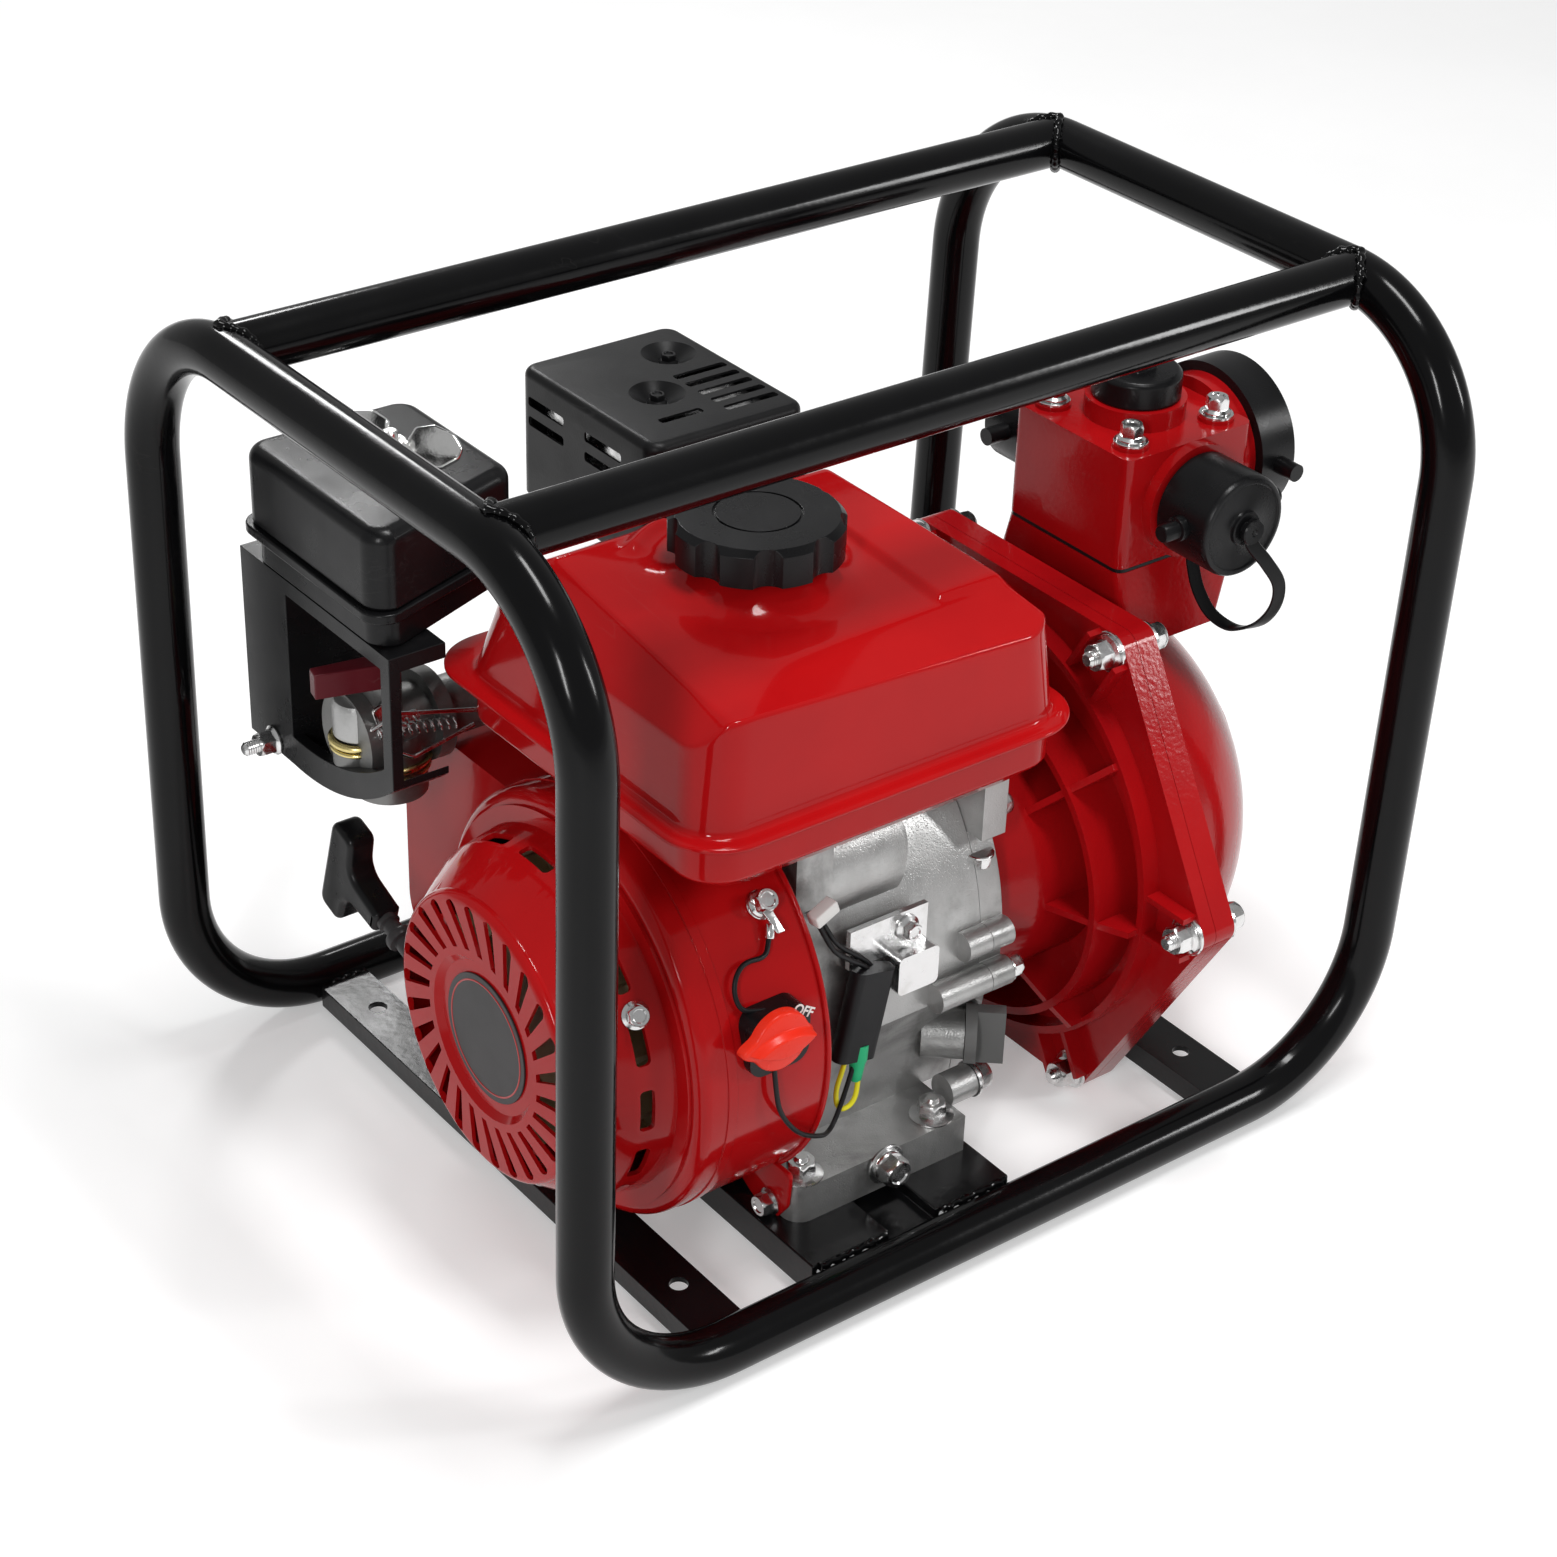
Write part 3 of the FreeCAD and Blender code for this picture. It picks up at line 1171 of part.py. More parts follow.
# Elbow shield: a framed plate under the air cleaner, with its duct and curved shelf
shield_x = "(air_left + 2 * air_rim)"
shield_top = "(air_bottom - part_gap)"
elbow = newBody("air_elbow")
plate = newSketch(elbow, "YZ_Plane", shield_x, "shield_outline")
drawOutline(plate, [
    ("shield_back", "shield_low"), ("shield_back", shield_top), ("shield_front", shield_top),
    ("shield_front", "shield_low + 4 * shield_frame", "3 * duct_deep", 1), ("duct_front", "shield_low")])
pad(elbow, plate, "shield_thick", "shield_plate")
boxPad(elbow, "air_duct", "YZ_Plane", shield_x, "duct_deep", "duct_front", "shield_low + shield_frame",
       "shield_back", shield_top)
boxPad(elbow, "shield_top_rim", "YZ_Plane", shield_x, "shelf_deep", "shield_front",
       shield_top + " - shield_frame",
       "shield_back", shield_top)
shelf = newSketch(elbow, "YZ_Plane", shield_x, "shelf_outline")
drawOutline(shelf, [
    ("shield_back", "shield_low"), ("shield_back", "shield_low + shelf_thick"),
    ("duct_front", "shield_low + shelf_thick", "3 * duct_deep", -1),
    ("shield_front", "shield_low + shelf_thick + 4 * shield_frame"),
    ("shield_front", "shield_low + 4 * shield_frame", "3 * duct_deep", 1), ("duct_front", "shield_low")])
pad(elbow, shelf, "shelf_deep", "shield_shelf")
bowl_space = newSketch(elbow, "XY_Plane", "shield_low + 4 * shield_frame", "bowl_space_outline")
drawCircle(bowl_space, "bowl_x", "carb_y", "bowl_dia + shield_frame")
pocket(elbow, bowl_space, "5 * shield_frame", "bowl_space")
window = newSketch(elbow, "YZ_Plane", shield_x, "shield_window_outline")
drawOutline(window, [
    ("duct_front", "shield_low + 2 * shield_frame"), ("duct_front", shield_top + " - shield_frame"),
    ("shield_front + shield_frame", shield_top + " - shield_frame"),
    ("shield_front + shield_frame", "shield_low + 5 * shield_frame", "3 * duct_deep", 1)])
pocket(elbow, window, "shield_thick", "shield_window", back=True)

# Carburettor with float bowl and intake tube, choke lever on its post
carb_left = "(air_left + 2 * air_rim + shield_thick + part_gap)"
head_left = "(cylinder_x - cylinder_size / 2 - head_reach - part_gap)"
carb = turned("carburettor", [
    (carb_left, "0"), (carb_left, "carb_flange_dia / 2"),
    (carb_left + " + carb_flange_thick", "carb_flange_dia / 2"),
    (carb_left + " + carb_flange_thick", "carb_dia / 2"), ("carb_right - carb_flange_thick", "carb_dia / 2"),
    ("carb_right - carb_flange_thick", "carb_flange_dia / 2 - part_gap"),
    ("carb_right", "carb_flange_dia / 2 - part_gap"),
    ("carb_right", "intake_dia / 2"), (head_left, "intake_dia / 2"),
    (head_left, "0")], y="carb_y", z="carb_z")
discPad(carb, "float_bowl", "XY_Plane", "bowl_bottom - carb_z", "carb_z - bowl_bottom", "bowl_x", "0",
        "bowl_dia")
discPad(carb, "bowl_drain", "XY_Plane", "bowl_bottom - carb_z - choke_post_dia / 2", "choke_post_dia / 2",
        "bowl_x", "0",
        "choke_post_dia")
discPad(carb, "choke_post", "XY_Plane", "0", "choke_z - carb_z - part_gap", "choke_x", "choke_y - carb_y",
        "choke_post_dia")
choke = newBody("choke_lever", "choke_x", "choke_y", "choke_z", "z", "-choke_turn")
arm = newSketch(choke, "XY_Plane", "0", "choke_lever_outline")
drawOutline(arm, [
    ("0", "-choke_wide / 2", "choke_wide / 1.9", 1), ("0", "choke_wide / 2"),
    ("-choke_long", "choke_wide / 2 - choke_wide / 6"),
    ("-choke_long", "choke_wide / 6 - choke_wide / 2")])
pad(choke, arm, "choke_tall", "choke_lever_pad")

# Small pieces on the engine's front
switch_face = "(crank_y - fan_housing_dia / 2 - switch_stand)"
plate = newBody("switch_plate")
face = newSketch(plate, "XZ_Plane", "-" + switch_face, "switch_plate_outline")
drawRounded(face, "switch_x - switch_plate_wide / 2", "switch_z - switch_plate_tall / 2",
            "switch_x + switch_plate_wide / 2", "switch_z + switch_plate_tall / 2", "switch_plate_wide / 4")
pad(plate, face, "switch_stand + switch_seat_in", "switch_plate_pad", back=True)
seat = newSketch(plate, "YZ_Plane", "switch_x", "switch_plate_seat")
drawCircle(seat, "crank_y", shaft_z, "fan_housing_dia + 2 * part_gap")
seat_cut = pocket(plate, seat, "2 * switch_plate_wide", "switch_plate_pocket")
seat_cut.Midplane = True
knob = frontTurned("switch_knob", "knob_x", switch_face + " - part_gap", "knob_z", [
    ("0", "0"), ("knob_dia / 2", "0"), ("knob_dia / 2", "knob_edge - knob_tall"),
    ("knob_dia / 2 - knob_edge", "-knob_tall"), ("0", "-knob_tall")])
wings = newSketch(knob, "XZ_Plane", "0", "knob_wing_outline")
drawOutline(wings, [
    ("-knob_dia / 2 - knob_grip_reach", "0"), ("knob_grip_reach - knob_dia / 2", "-knob_grip_wide / 2"),
    ("knob_dia / 2 - knob_grip_reach", "-knob_grip_wide / 2"), ("knob_dia / 2 + knob_grip_back", "0"),
    ("knob_dia / 2 - knob_grip_reach", "knob_grip_wide / 2"),
    ("knob_grip_reach - knob_dia / 2", "knob_grip_wide / 2")])
pad(knob, wings, "knob_tall / 2", "knob_wings")
boxPad(knob, "knob_grip", "XZ_Plane", "knob_tall - seat_gap", "knob_grip_tall",
       "-knob_dia / 2 + knob_edge", "-knob_grip_wide / 2", "knob_dia / 2 - knob_edge", "knob_grip_wide / 2")

wall_face = "-block_front"
sensor = newBody("oil_sensor")
boxPad(sensor, "sensor_clamp", "XZ_Plane", wall_face + " + seat_gap", "clamp_thick",
       "sensor_left + sensor_wide - clamp_wide",
       "sensor_low + sensor_tall - clamp_tall / 6", "sensor_left + sensor_wide",
       "sensor_low + sensor_tall + clamp_tall")
can = newSketch(sensor, "XZ_Plane", wall_face + " + seat_gap", "sensor_outline")
drawRounded(can, "sensor_left", "sensor_low", "sensor_left + sensor_wide", "sensor_low + sensor_tall",
            "clamp_thick")
pad(sensor, can, "sensor_deep", "sensor_can")

# Rubber sleeve over the switch leads, and the leads themselves
sleeve_turned = newBody("connector_sleeve", "sleeve_x", "block_front - clamp_thick - 2 * seat_gap",
                        "sleeve_z", "y", "sleeve_lean")
skin = newSketch(sleeve_turned, "XY_Plane", "-sleeve_long / 2", "sleeve_outline")
drawRounded(skin, "-sleeve_wide / 2", "-sleeve_thick", "sleeve_wide / 2", "0", "sleeve_thick / 2.2")
pad(sleeve_turned, skin, "sleeve_long", "sleeve_pad")

# Pump: flange plates share one six-cornered outline with a round ear at each corner
def flangeOutline(sketch):
    corners = []
    for number in range(6):
        angle = 30 + 60 * number
        centre = ("pump_bolt_circle / 2 * sin(%d)" % angle, "pump_bolt_circle / 2 * cos(%d)" % angle)
        for turn in (-30, 30):
            place = ["%s + pump_ear_dia / 2 * %s(%d)" % (middle, wave, angle + turn)
                     for middle, wave in zip(centre, ("sin", "cos"))]
            corners.append(tuple(place) + (("pump_ear_dia / 2", -1) if turn < 0 else ()))
    drawOutline(sketch, corners)


# Adapter between engine and pump: hub and ring on the shaft's line, rim on the pump's
adapter = newBody("pump_adapter", "0", "pump_y", "pump_z")
cover_face = "(block_right + side_cover_thick + part_gap)"
floor_x = "(pump_joint_x - adapter_floor)"
drop = shaft_z + " - pump_z"
aside = "pump_y - crank_y"
hub = newSketch(adapter, "XZ_Plane", aside, "adapter_hub_profile", "0", drop)
drawOutline(hub, [
    (cover_face, "0"), (cover_face, "hub_left_dia / 2"), ("hub_shoulder_x", "hub_dia / 2"),
    (floor_x, "hub_dia / 2"),
    (floor_x, "0")])
hub_turn = revolve(adapter, hub, "X_Axis", "adapter_hub")
hub_turn.ReferenceAxis = (hub, ["H_Axis"])
ring = newSketch(adapter, "YZ_Plane", "ring_left", "adapter_ring_outline", "-(%s)" % aside, drop)
drawCircle(ring, "0", "0", "ring_dia")
drawCircle(ring, "0", "0", "ring_dia - 2 * adapter_wall")
pad(adapter, ring, floor_x + " - ring_left", "adapter_ring")
rib = newSketch(adapter, "XZ_Plane", aside, "adapter_rib_outline", "0", drop)
reach = "(adapter_rim_dia / 2 + %s)" % aside
drawOutline(rib, [
    (floor_x, "hub_dia / 2 - adapter_wall"), (floor_x, reach), ("adapter_rim_left + adapter_wall", reach),
    ("ring_left + adapter_wall / 2", "ring_dia / 2"),
    ("hub_shoulder_x + adapter_wall / 2", "hub_dia / 2 - adapter_wall")])
rib_pad = pad(adapter, rib, "rib_thick", "adapter_rib")
rib_pad.Midplane = True
ringPattern(adapter, [rib_pad], "rib_count", "adapter_ribs", ring)
trim = newSketch(adapter, "YZ_Plane", floor_x, "adapter_trim_outline")
drawCircle(trim, "0", "0", "adapter_rim_dia - adapter_wall")
drawCircle(trim, "0", "0", "2 * pump_bolt_circle")
pocket(adapter, trim, floor_x + " - hub_shoulder_x", "adapter_trim")
floor = newSketch(adapter, "YZ_Plane", floor_x, "adapter_floor_outline")
drawCircle(floor, "0", "0", "adapter_rim_dia")
pad(adapter, floor, "adapter_floor", "adapter_floor_pad")
rim = newSketch(adapter, "YZ_Plane", "adapter_rim_left", "adapter_rim_outline")
drawCircle(rim, "0", "0", "adapter_rim_dia")
drawCircle(rim, "0", "0", "adapter_rim_dia - 2 * adapter_wall")
pad(adapter, rim, "pump_joint_x - adapter_rim_left", "adapter_rim")
flange = newSketch(adapter, "YZ_Plane", "pump_joint_x - adapter_flange", "adapter_flange_outline")
flangeOutline(flange)
drawCircle(flange, "0", "0", "adapter_rim_dia - 2 * adapter_wall")
pad(adapter, flange, "adapter_flange", "adapter_flange_pad")
ear_rib = newSketch(adapter, "YZ_Plane", "adapter_rim_left + adapter_wall / 2", "ear_rib_outline")
ear_rib.AttachmentOffset = Placement(ear_rib.AttachmentOffset.Base, Rotation(AXES["z"], -30))
for side in (-1, 1):
    middle = "(%d) * ear_rib_spread / 2" % side
    drawBox(ear_rib, middle + " - ear_rib_thick / 2", "adapter_rim_dia / 2 - adapter_wall",
            middle + " + ear_rib_thick / 2", "pump_bolt_circle / 2 + ear_rib_thick")
ear_rib_pad = pad(adapter, ear_rib, "pump_joint_x - adapter_flange - adapter_rim_left", "ear_ribs")
ringPattern(adapter, [ear_rib_pad], "6", "ear_ribs_ring")

# Pump casing: flange, domed drum and the square neck that carries the discharge block
casing = turned("pump_casing", [
    ("pump_joint_x + part_gap", "0"), ("pump_joint_x + part_gap", "pump_drum_dia / 2"),
    ("pump_drum_left", "pump_drum_dia / 2", "dome_round", -1), ("pump_dome_right", "dome_face_dia / 2"),
    ("pump_dome_right", "0")], y="pump_y", z="pump_z")
plate = newSketch(casing, "YZ_Plane", "pump_joint_x + part_gap", "casing_flange_outline")
flangeOutline(plate)
pad(casing, plate, "casing_flange", "casing_flange_pad")
half = "cube_wide / 2"
neck_top = newSketch(casing, "XY_Plane", "cube_bottom - gasket_thick - seat_gap - pump_z", "casing_neck_top")
drawRounded(neck_top, "block_x - " + half, "block_y - pump_y - " + half, "block_x + " + half,
            "block_y - pump_y + " + half, "cube_corner")
neck_foot = newSketch(casing, "XY_Plane", "cube_bottom - neck_deep - pump_z", "casing_neck_foot")
drawRounded(neck_foot, "block_x - " + half, "block_y - pump_y - %s - neck_flare" % half,
            "block_x + cube_wide / 4",
            "block_y - pump_y + %s + neck_flare" % half, "cube_corner")
neck_loft = casing.newObject("PartDesign::AdditiveLoft", "casing_neck")
neck_loft.Profile = neck_foot
neck_loft.Sections = [neck_top]
neck_loft.Ruled = True
turned("suction_flange", [
    ("pump_dome_right + seat_gap", "suction_dia / 2"),
    ("pump_dome_right + seat_gap", "dome_face_dia / 2 - cap_edge"),
    ("suction_right - side_collar_long", "dome_face_dia / 2 - cap_edge"),
    ("suction_right - side_collar_long", "suction_flange_dia / 2"),
    ("suction_right", "suction_flange_dia / 2"),
    ("suction_right", "suction_dia / 2")], y="pump_y", z="pump_z")

# Discharge block, its gasket and its capped outlets
gasket = newBody("discharge_gasket")
sheet_outline = newSketch(gasket, "XY_Plane", "cube_bottom - gasket_thick", "gasket_outline")
drawRounded(sheet_outline, "block_x - %s + seat_gap" % half, "block_y - %s + seat_gap" % half,
            "block_x + %s - seat_gap" % half, "block_y + %s - seat_gap" % half, "cube_corner")
pad(gasket, sheet_outline, "gasket_thick - seat_gap", "gasket_pad")
cube = newBody("discharge_block", "block_x", "block_y")
middle_z = "(cube_top + cube_bottom) / 2"
faces = newSketch(cube, "XY_Plane", "cube_bottom", "cube_outline")
drawRounded(faces, "-" + half, "-" + half, half, half, "cube_corner")
pad(cube, faces, "cube_top - cube_bottom", "cube_pad")
discPad(cube, "plug_collar", "XY_Plane", "cube_top", "plug_collar_tall", "0", "0", "plug_collar_dia")
discPad(cube, "front_collar", "XZ_Plane", half, "side_collar_long", "0", middle_z, "side_collar_dia")
discPad(cube, "rear_collar", "XZ_Plane", "-%s - side_collar_long" % half, "side_collar_long", "0", middle_z,
        "side_collar_dia")
discPad(cube, "main_collar", "YZ_Plane", half, "main_collar_long", "0", middle_z, "main_collar_dia")
for across in (-1, 1):
    for along in (-1, 1):
        discPad(cube, "bolt_seat_%d_%d" % (across + 1, along + 1), "XY_Plane", "cube_top", "cap_edge",
                "(%d) * (%s - bolt_seat_inset)" % (across, half),
                "(%d) * (%s - bolt_seat_inset)" % (along, half), "bolt_seat_dia")
plug = uprightTurned("priming_plug", "block_x", "block_y", "cube_top + plug_collar_tall + seat_gap", [
    ("0", "0"), ("plug_dia / 2", "0"), ("plug_dia / 2", "plug_tall - cap_edge"),
    ("plug_dia / 2 - cap_edge", "plug_tall"),
    ("0", "plug_tall")])
boxPad(plug, "plug_key", "XY_Plane", "plug_tall - seat_gap", "cap_hub_tall", "-cap_hub_dia / 2",
       "-cap_hub_dia / 2",
       "cap_hub_dia / 2", "cap_hub_dia / 2")


def outletCap(label, x, y, turn, diameter, long):
    """Cap screwed on an outlet, with a hub on its face and a pin at either side."""
    body = frontTurned(label, x, y, middle_z, [
        ("0", "-seat_gap"), (diameter + " / 2", "-seat_gap"), (diameter + " / 2", "cap_edge - " + long),
        (diameter + " / 2 - cap_edge", "-" + long), ("cap_hub_dia / 2", "-" + long),
        ("cap_hub_dia / 2", "-%s - cap_hub_tall" % long), ("0", "-%s - cap_hub_tall" % long)], "z", turn)
    for name, start, back in (("pin", "0", False), ("far_pin", "0", True)):
        discPad(body, label + "_" + name, "YZ_Plane", start, diameter + " / 2 + cap_pin_long",
                "-%s / 2" % long, "0", "cap_pin_dia", back)


outletCap("front_outlet_cap", "block_x", "block_y - %s - side_collar_long" % half, "0", "side_cap_dia",
          "side_cap_long")
outletCap("rear_outlet_cap", "block_x", "block_y + %s + side_collar_long" % half, "180", "side_cap_dia",
          "side_cap_long")
outletCap("main_outlet_cap", "block_x + %s + main_collar_long" % half, "block_y", "90", "main_cap_dia",
          "main_cap_long")

# Strap that ties the front cap to the neck, one piece with the cap
strap_y = size("block_y - cube_wide / 2 - side_collar_long - side_cap_long - cap_edge")
strap_top = size(middle_z + " - cap_hub_dia / 2 + cap_edge")
strap_low = size(middle_z + " - side_cap_dia / 2 - tether_drop")
points = [Vector(size("block_x"), strap_y, strap_top), Vector(size("block_x"), strap_y, strap_low),
          Vector(size("block_x"), size("block_y"), strap_low)]


def strapSection(start, along):
    """Thin upright rectangle across the strap's way, wide along X."""
    across = Vector(size("tether_wide") / 2, 0, 0)
    through = along.cross(Vector(1, 0, 0)).normalize() * (size("tether_thick") / 2)
    corners = [start + across + through, start - across + through, start - across - through,
               start + across - through]
    return Part.Face(Part.makePolygon(corners + corners[:1]))


strap = trimmed("cap_strap", alongPath(tubePath(points, [size("tether_bend")]), strapSection),
                ["pump_casing"])
del nodes["cap_strap"]
joined("front_outlet_cap", "Part::Fuse", nodes["front_outlet_cap"], strap)

# Leads of the stop switch, from the terminal bolt to the switch and on to the rubber sleeve
lead_line = size("lead_dia / 2 + 2 * part_gap")


def onHousing(x, z):
    """Place of a lead's middle that lies on the front of the fan housing's drum."""
    radius = size("fan_housing_dia / 2 + housing_bead") + lead_line
    rise = z - size(shaft_z)
    return Vector(x, size("crank_y") - math.sqrt(radius * radius - rise * rise), z)


bend = size("lead_bend")
upper_lead = tubeShape([
    onHousing(size("terminal_x"), size("terminal_z")), onHousing(size("terminal_x"), size("lead_side_z")),
    onHousing(size("lead_side_x"), size("lead_side_z")),
    onHousing(size("knob_x"), size("switch_z + switch_plate_tall / 2 + part_gap + lead_dia / 2"))],
    [bend, bend / 2], size("lead_dia"))
loop_y = size("crank_y - fan_housing_dia / 2 - 2 * lead_dia")
loop_z = size("lead_loop_z")
sleeve_y = size("block_front - clamp_thick - sleeve_thick / 2")
lean = math.radians(size("sleeve_lean"))
half_sleeve = size("sleeve_long / 2 + part_gap + lead_dia / 2")
sleeve_end = Vector(size("sleeve_x") - math.sin(lean) * half_sleeve, sleeve_y,
                    size("sleeve_z") - math.cos(lean) * half_sleeve)
lower_lead = tubeShape([
    Vector(size("knob_x"), loop_y, size("switch_z - switch_plate_tall / 2 - part_gap")),
    Vector(size("knob_x"), loop_y, loop_z + 2 * bend),
    onHousing(size("fan_housing_right") - bend, loop_z) - Vector(0, size("lead_dia"), 0),
    Vector(size("sleeve_x - sleeve_wide / 2"), sleeve_y - bend, loop_z), sleeve_end],
    [bend, bend, bend], size("lead_dia"))
addShape("switch_leads", Part.makeCompound([upper_lead, lower_lead]))

doc.recompute()
bad = [item.Name for item in doc.Objects if "Invalid" in item.State or "Error" in item.State]
if bad:
    raise RuntimeError("failed objects: " + ", ".join(bad))
os.makedirs("parts", exist_ok=True)
for label, item in nodes.items():
    if item.Shape.isNull() or not item.Shape.isValid():
        raise RuntimeError("bad shape: " + label)
    item.Shape.exportStep("parts/%s.step" % label)
    print(label, len(item.Shape.Solids), round(item.Shape.Volume))
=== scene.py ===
import json
import math
import bmesh
import bpy
import numpy as np
from mathutils import Matrix, Vector
from mathutils.bvhtree import BVHTree


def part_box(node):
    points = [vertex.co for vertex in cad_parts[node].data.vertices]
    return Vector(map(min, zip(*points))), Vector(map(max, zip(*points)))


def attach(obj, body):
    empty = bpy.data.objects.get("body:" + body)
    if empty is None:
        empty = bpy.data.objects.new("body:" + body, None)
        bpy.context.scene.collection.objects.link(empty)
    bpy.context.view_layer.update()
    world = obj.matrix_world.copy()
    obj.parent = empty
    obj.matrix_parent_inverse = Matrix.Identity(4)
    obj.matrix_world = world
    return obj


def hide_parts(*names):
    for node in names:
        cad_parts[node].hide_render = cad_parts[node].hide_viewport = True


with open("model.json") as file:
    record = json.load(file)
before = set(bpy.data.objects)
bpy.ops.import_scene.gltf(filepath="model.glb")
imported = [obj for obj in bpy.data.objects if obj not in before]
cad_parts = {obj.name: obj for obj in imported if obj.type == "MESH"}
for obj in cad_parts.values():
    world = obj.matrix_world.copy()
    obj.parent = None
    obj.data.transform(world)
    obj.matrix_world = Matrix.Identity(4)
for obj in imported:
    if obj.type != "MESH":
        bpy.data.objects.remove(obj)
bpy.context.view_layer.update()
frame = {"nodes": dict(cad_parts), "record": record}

scene = bpy.context.scene
mm = 0.001
print("stage: frame loaded,", len(frame["nodes"]), "nodes")

# The camera stands where the photograph was taken from
view = {
    "place": (-0.8490065, -1.0718469, 1.0005993),
    "right": (0.7971922, -0.6030357, 0.0288543),
    "up": (0.2945226, 0.4301799, 0.8533473),
    "back": (-0.5270115, -0.6717835, 0.5205437),
    "lens": 74.794, "sensor": 36, "clip": (0.05, 30),
}


def added(name, data):
    # an object with that data, put into the scene
    thing = bpy.data.objects.new(name, data)
    scene.collection.objects.link(thing)
    return thing


def stand(thing, place, axes):
    # axes are the columns of a 3 x 3 matrix
    whole = np.eye(4)
    whole[:3, :3], whole[:3, 3] = axes, place
    thing.matrix_world = Matrix(whole.tolist())


def addCamera(v):
    data = bpy.data.cameras.new("photoCamera")
    data.lens, data.sensor_width = v["lens"], v["sensor"]
    data.clip_start, data.clip_end = v["clip"]
    scene.camera = added("photoCamera", data)
    stand(scene.camera, v["place"], np.stack([v["right"], v["up"], v["back"]], 1))


addCamera(view)
scene.view_settings.view_transform = "Standard"


class Field:
    # one number or vector socket; arithmetic on it adds Math nodes to its tree
    def __init__(self, finish, socket):
        self.finish, self.socket = finish, socket

    def maths(self, operation, other=None, swap=False):
        given = [self, other] if not swap else [other, self]
        values = {i: g for i, g in enumerate(given) if g is not None}
        return self.finish.node("ShaderNodeMath", {"operation": operation}, values)

    def __add__(self, other): return self.maths("ADD", other)
    def __radd__(self, other): return self.maths("ADD", other, True)
    def __sub__(self, other): return self.maths("SUBTRACT", other)
    def __rsub__(self, other): return self.maths("SUBTRACT", other, True)
    def __mul__(self, other): return self.maths("MULTIPLY", other)
    def __rmul__(self, other): return self.maths("MULTIPLY", other, True)

    def most(self, other): return self.maths("MAXIMUM", other)
    def size(self): return self.maths("ABSOLUTE")

    def between(self, low, high, start=0.0, stop=1.0):
        # eased step from start to stop as the value goes from low to high
        return self.finish.node("ShaderNodeMapRange", {"interpolation_type": "SMOOTHSTEP"},
                                {0: self, 1: low, 2: high, 3: start, 4: stop})

    def beside(self, which):
        # another output of the same node
        return Field(self.finish, self.socket.node.outputs[which])


class Finish:
    # a material with its tree, and short words for the nodes that the finishes share
    def __init__(self, name):
        self.material = bpy.data.materials.new(name)
        self.material.use_nodes = True
        self.tree = self.material.node_tree
        self.shader = next(n for n in self.tree.nodes if n.type == "BSDF_PRINCIPLED")
        self.place = self.node("ShaderNodeTexCoord", out="Object")

    def node(self, kind, settings=None, values=None, out=0):
        # adds a node and gives back one of its outputs
        node = self.tree.nodes.new(kind)
        for name, value in (settings or {}).items():
            setattr(node, name, value)
        for which, value in (values or {}).items():
            self.feed(node.inputs[which], value)
        return Field(self, node.outputs[out])

    def feed(self, socket, value):
        if isinstance(value, Field):
            self.tree.links.new(value.socket, socket)
        elif socket.type == "RGBA" and len(value) == 3:
            socket.default_value = (*value, 1.0)
        else:
            socket.default_value = value

    def stretched(self, factors):
        mapping = {"Vector": self.place, "Scale": factors}
        return self.node("ShaderNodeMapping", None, mapping)

    def noise(self, scale, detail=3.0, rough=0.55, stretch=None, warp=0.0):
        vector = self.stretched(stretch) if stretch else self.place
        return self.node("ShaderNodeTexNoise", None, {
            "Vector": vector, "Scale": scale, "Detail": detail, "Roughness": rough,
            "Distortion": warp})

    def cells(self, scale):
        # distance to the nearest of scattered points
        values = {"Vector": self.place, "Scale": scale}
        return self.node("ShaderNodeTexVoronoi", None, values)

    def blend(self, factor, first, second):
        return self.node("ShaderNodeMix", {"data_type": "RGBA"},
                         {0: factor, 6: first, 7: second}, 2)

    def bump(self, height, depth):
        # height runs 0 to 1, depth is in metres
        return self.node("ShaderNodeBump", None, {"Height": height, "Distance": depth})

    def fixed(self, **values):
        for name, value in values.items():
            self.feed(self.shader.inputs[name.replace("_", " ")], value)

    def varying(self, colour, rough, normal=None):
        given = {"Base Color": colour, "Roughness": rough, "Normal": normal}
        for label, value in given.items():
            if value is not None:
                self.feed(self.shader.inputs[label], value)
        return self.material


def scratchMask(f, scale, thin):
    # thin broken lines: ridges of a stretched noise, cut by a coarser one
    stretch, coarser = (1.0, 0.35, 2.2), 0.21
    lines = (f.noise(scale, 2.0, 0.5, stretch, 0.6) - 0.5).size().between(thin, 0.0)
    return lines * f.noise(scale * coarser, 2.0).between(0.56, 0.72)


def enamel(name, colour, deep, rough, coat, peel, dust, index=1.5, fine=260.0):
    # sprayed enamel: a slight orange peel, pooled colour, faint scratches and dust
    f = Finish(name)
    dustColour = (0.55, 0.52, 0.48)
    cloud = f.noise(9.0, 4.0, 0.6)
    tone = f.blend(cloud.between(0.3, 0.75), colour, deep)
    specks = f.cells(520.0).between(0.09, 0.05) * f.noise(35.0).between(0.5, 0.75)
    marks = specks * dust + scratchMask(f, 46.0, 0.012) * dust * 0.6
    dusted = f.blend(marks, tone, dustColour)
    roughness = f.noise(22.0, 4.0).between(0.3, 0.8, rough * 0.8, rough * 1.35) + specks * 0.2
    height = f.noise(fine, 1.5, 0.4) * 0.8 + f.noise(34.0, 1.0, 0.4)
    f.fixed(IOR=index, Coat_Weight=coat, Coat_Roughness=0.03, Coat_IOR=1.5)
    return f.varying(dusted, roughness, f.bump(height, peel))


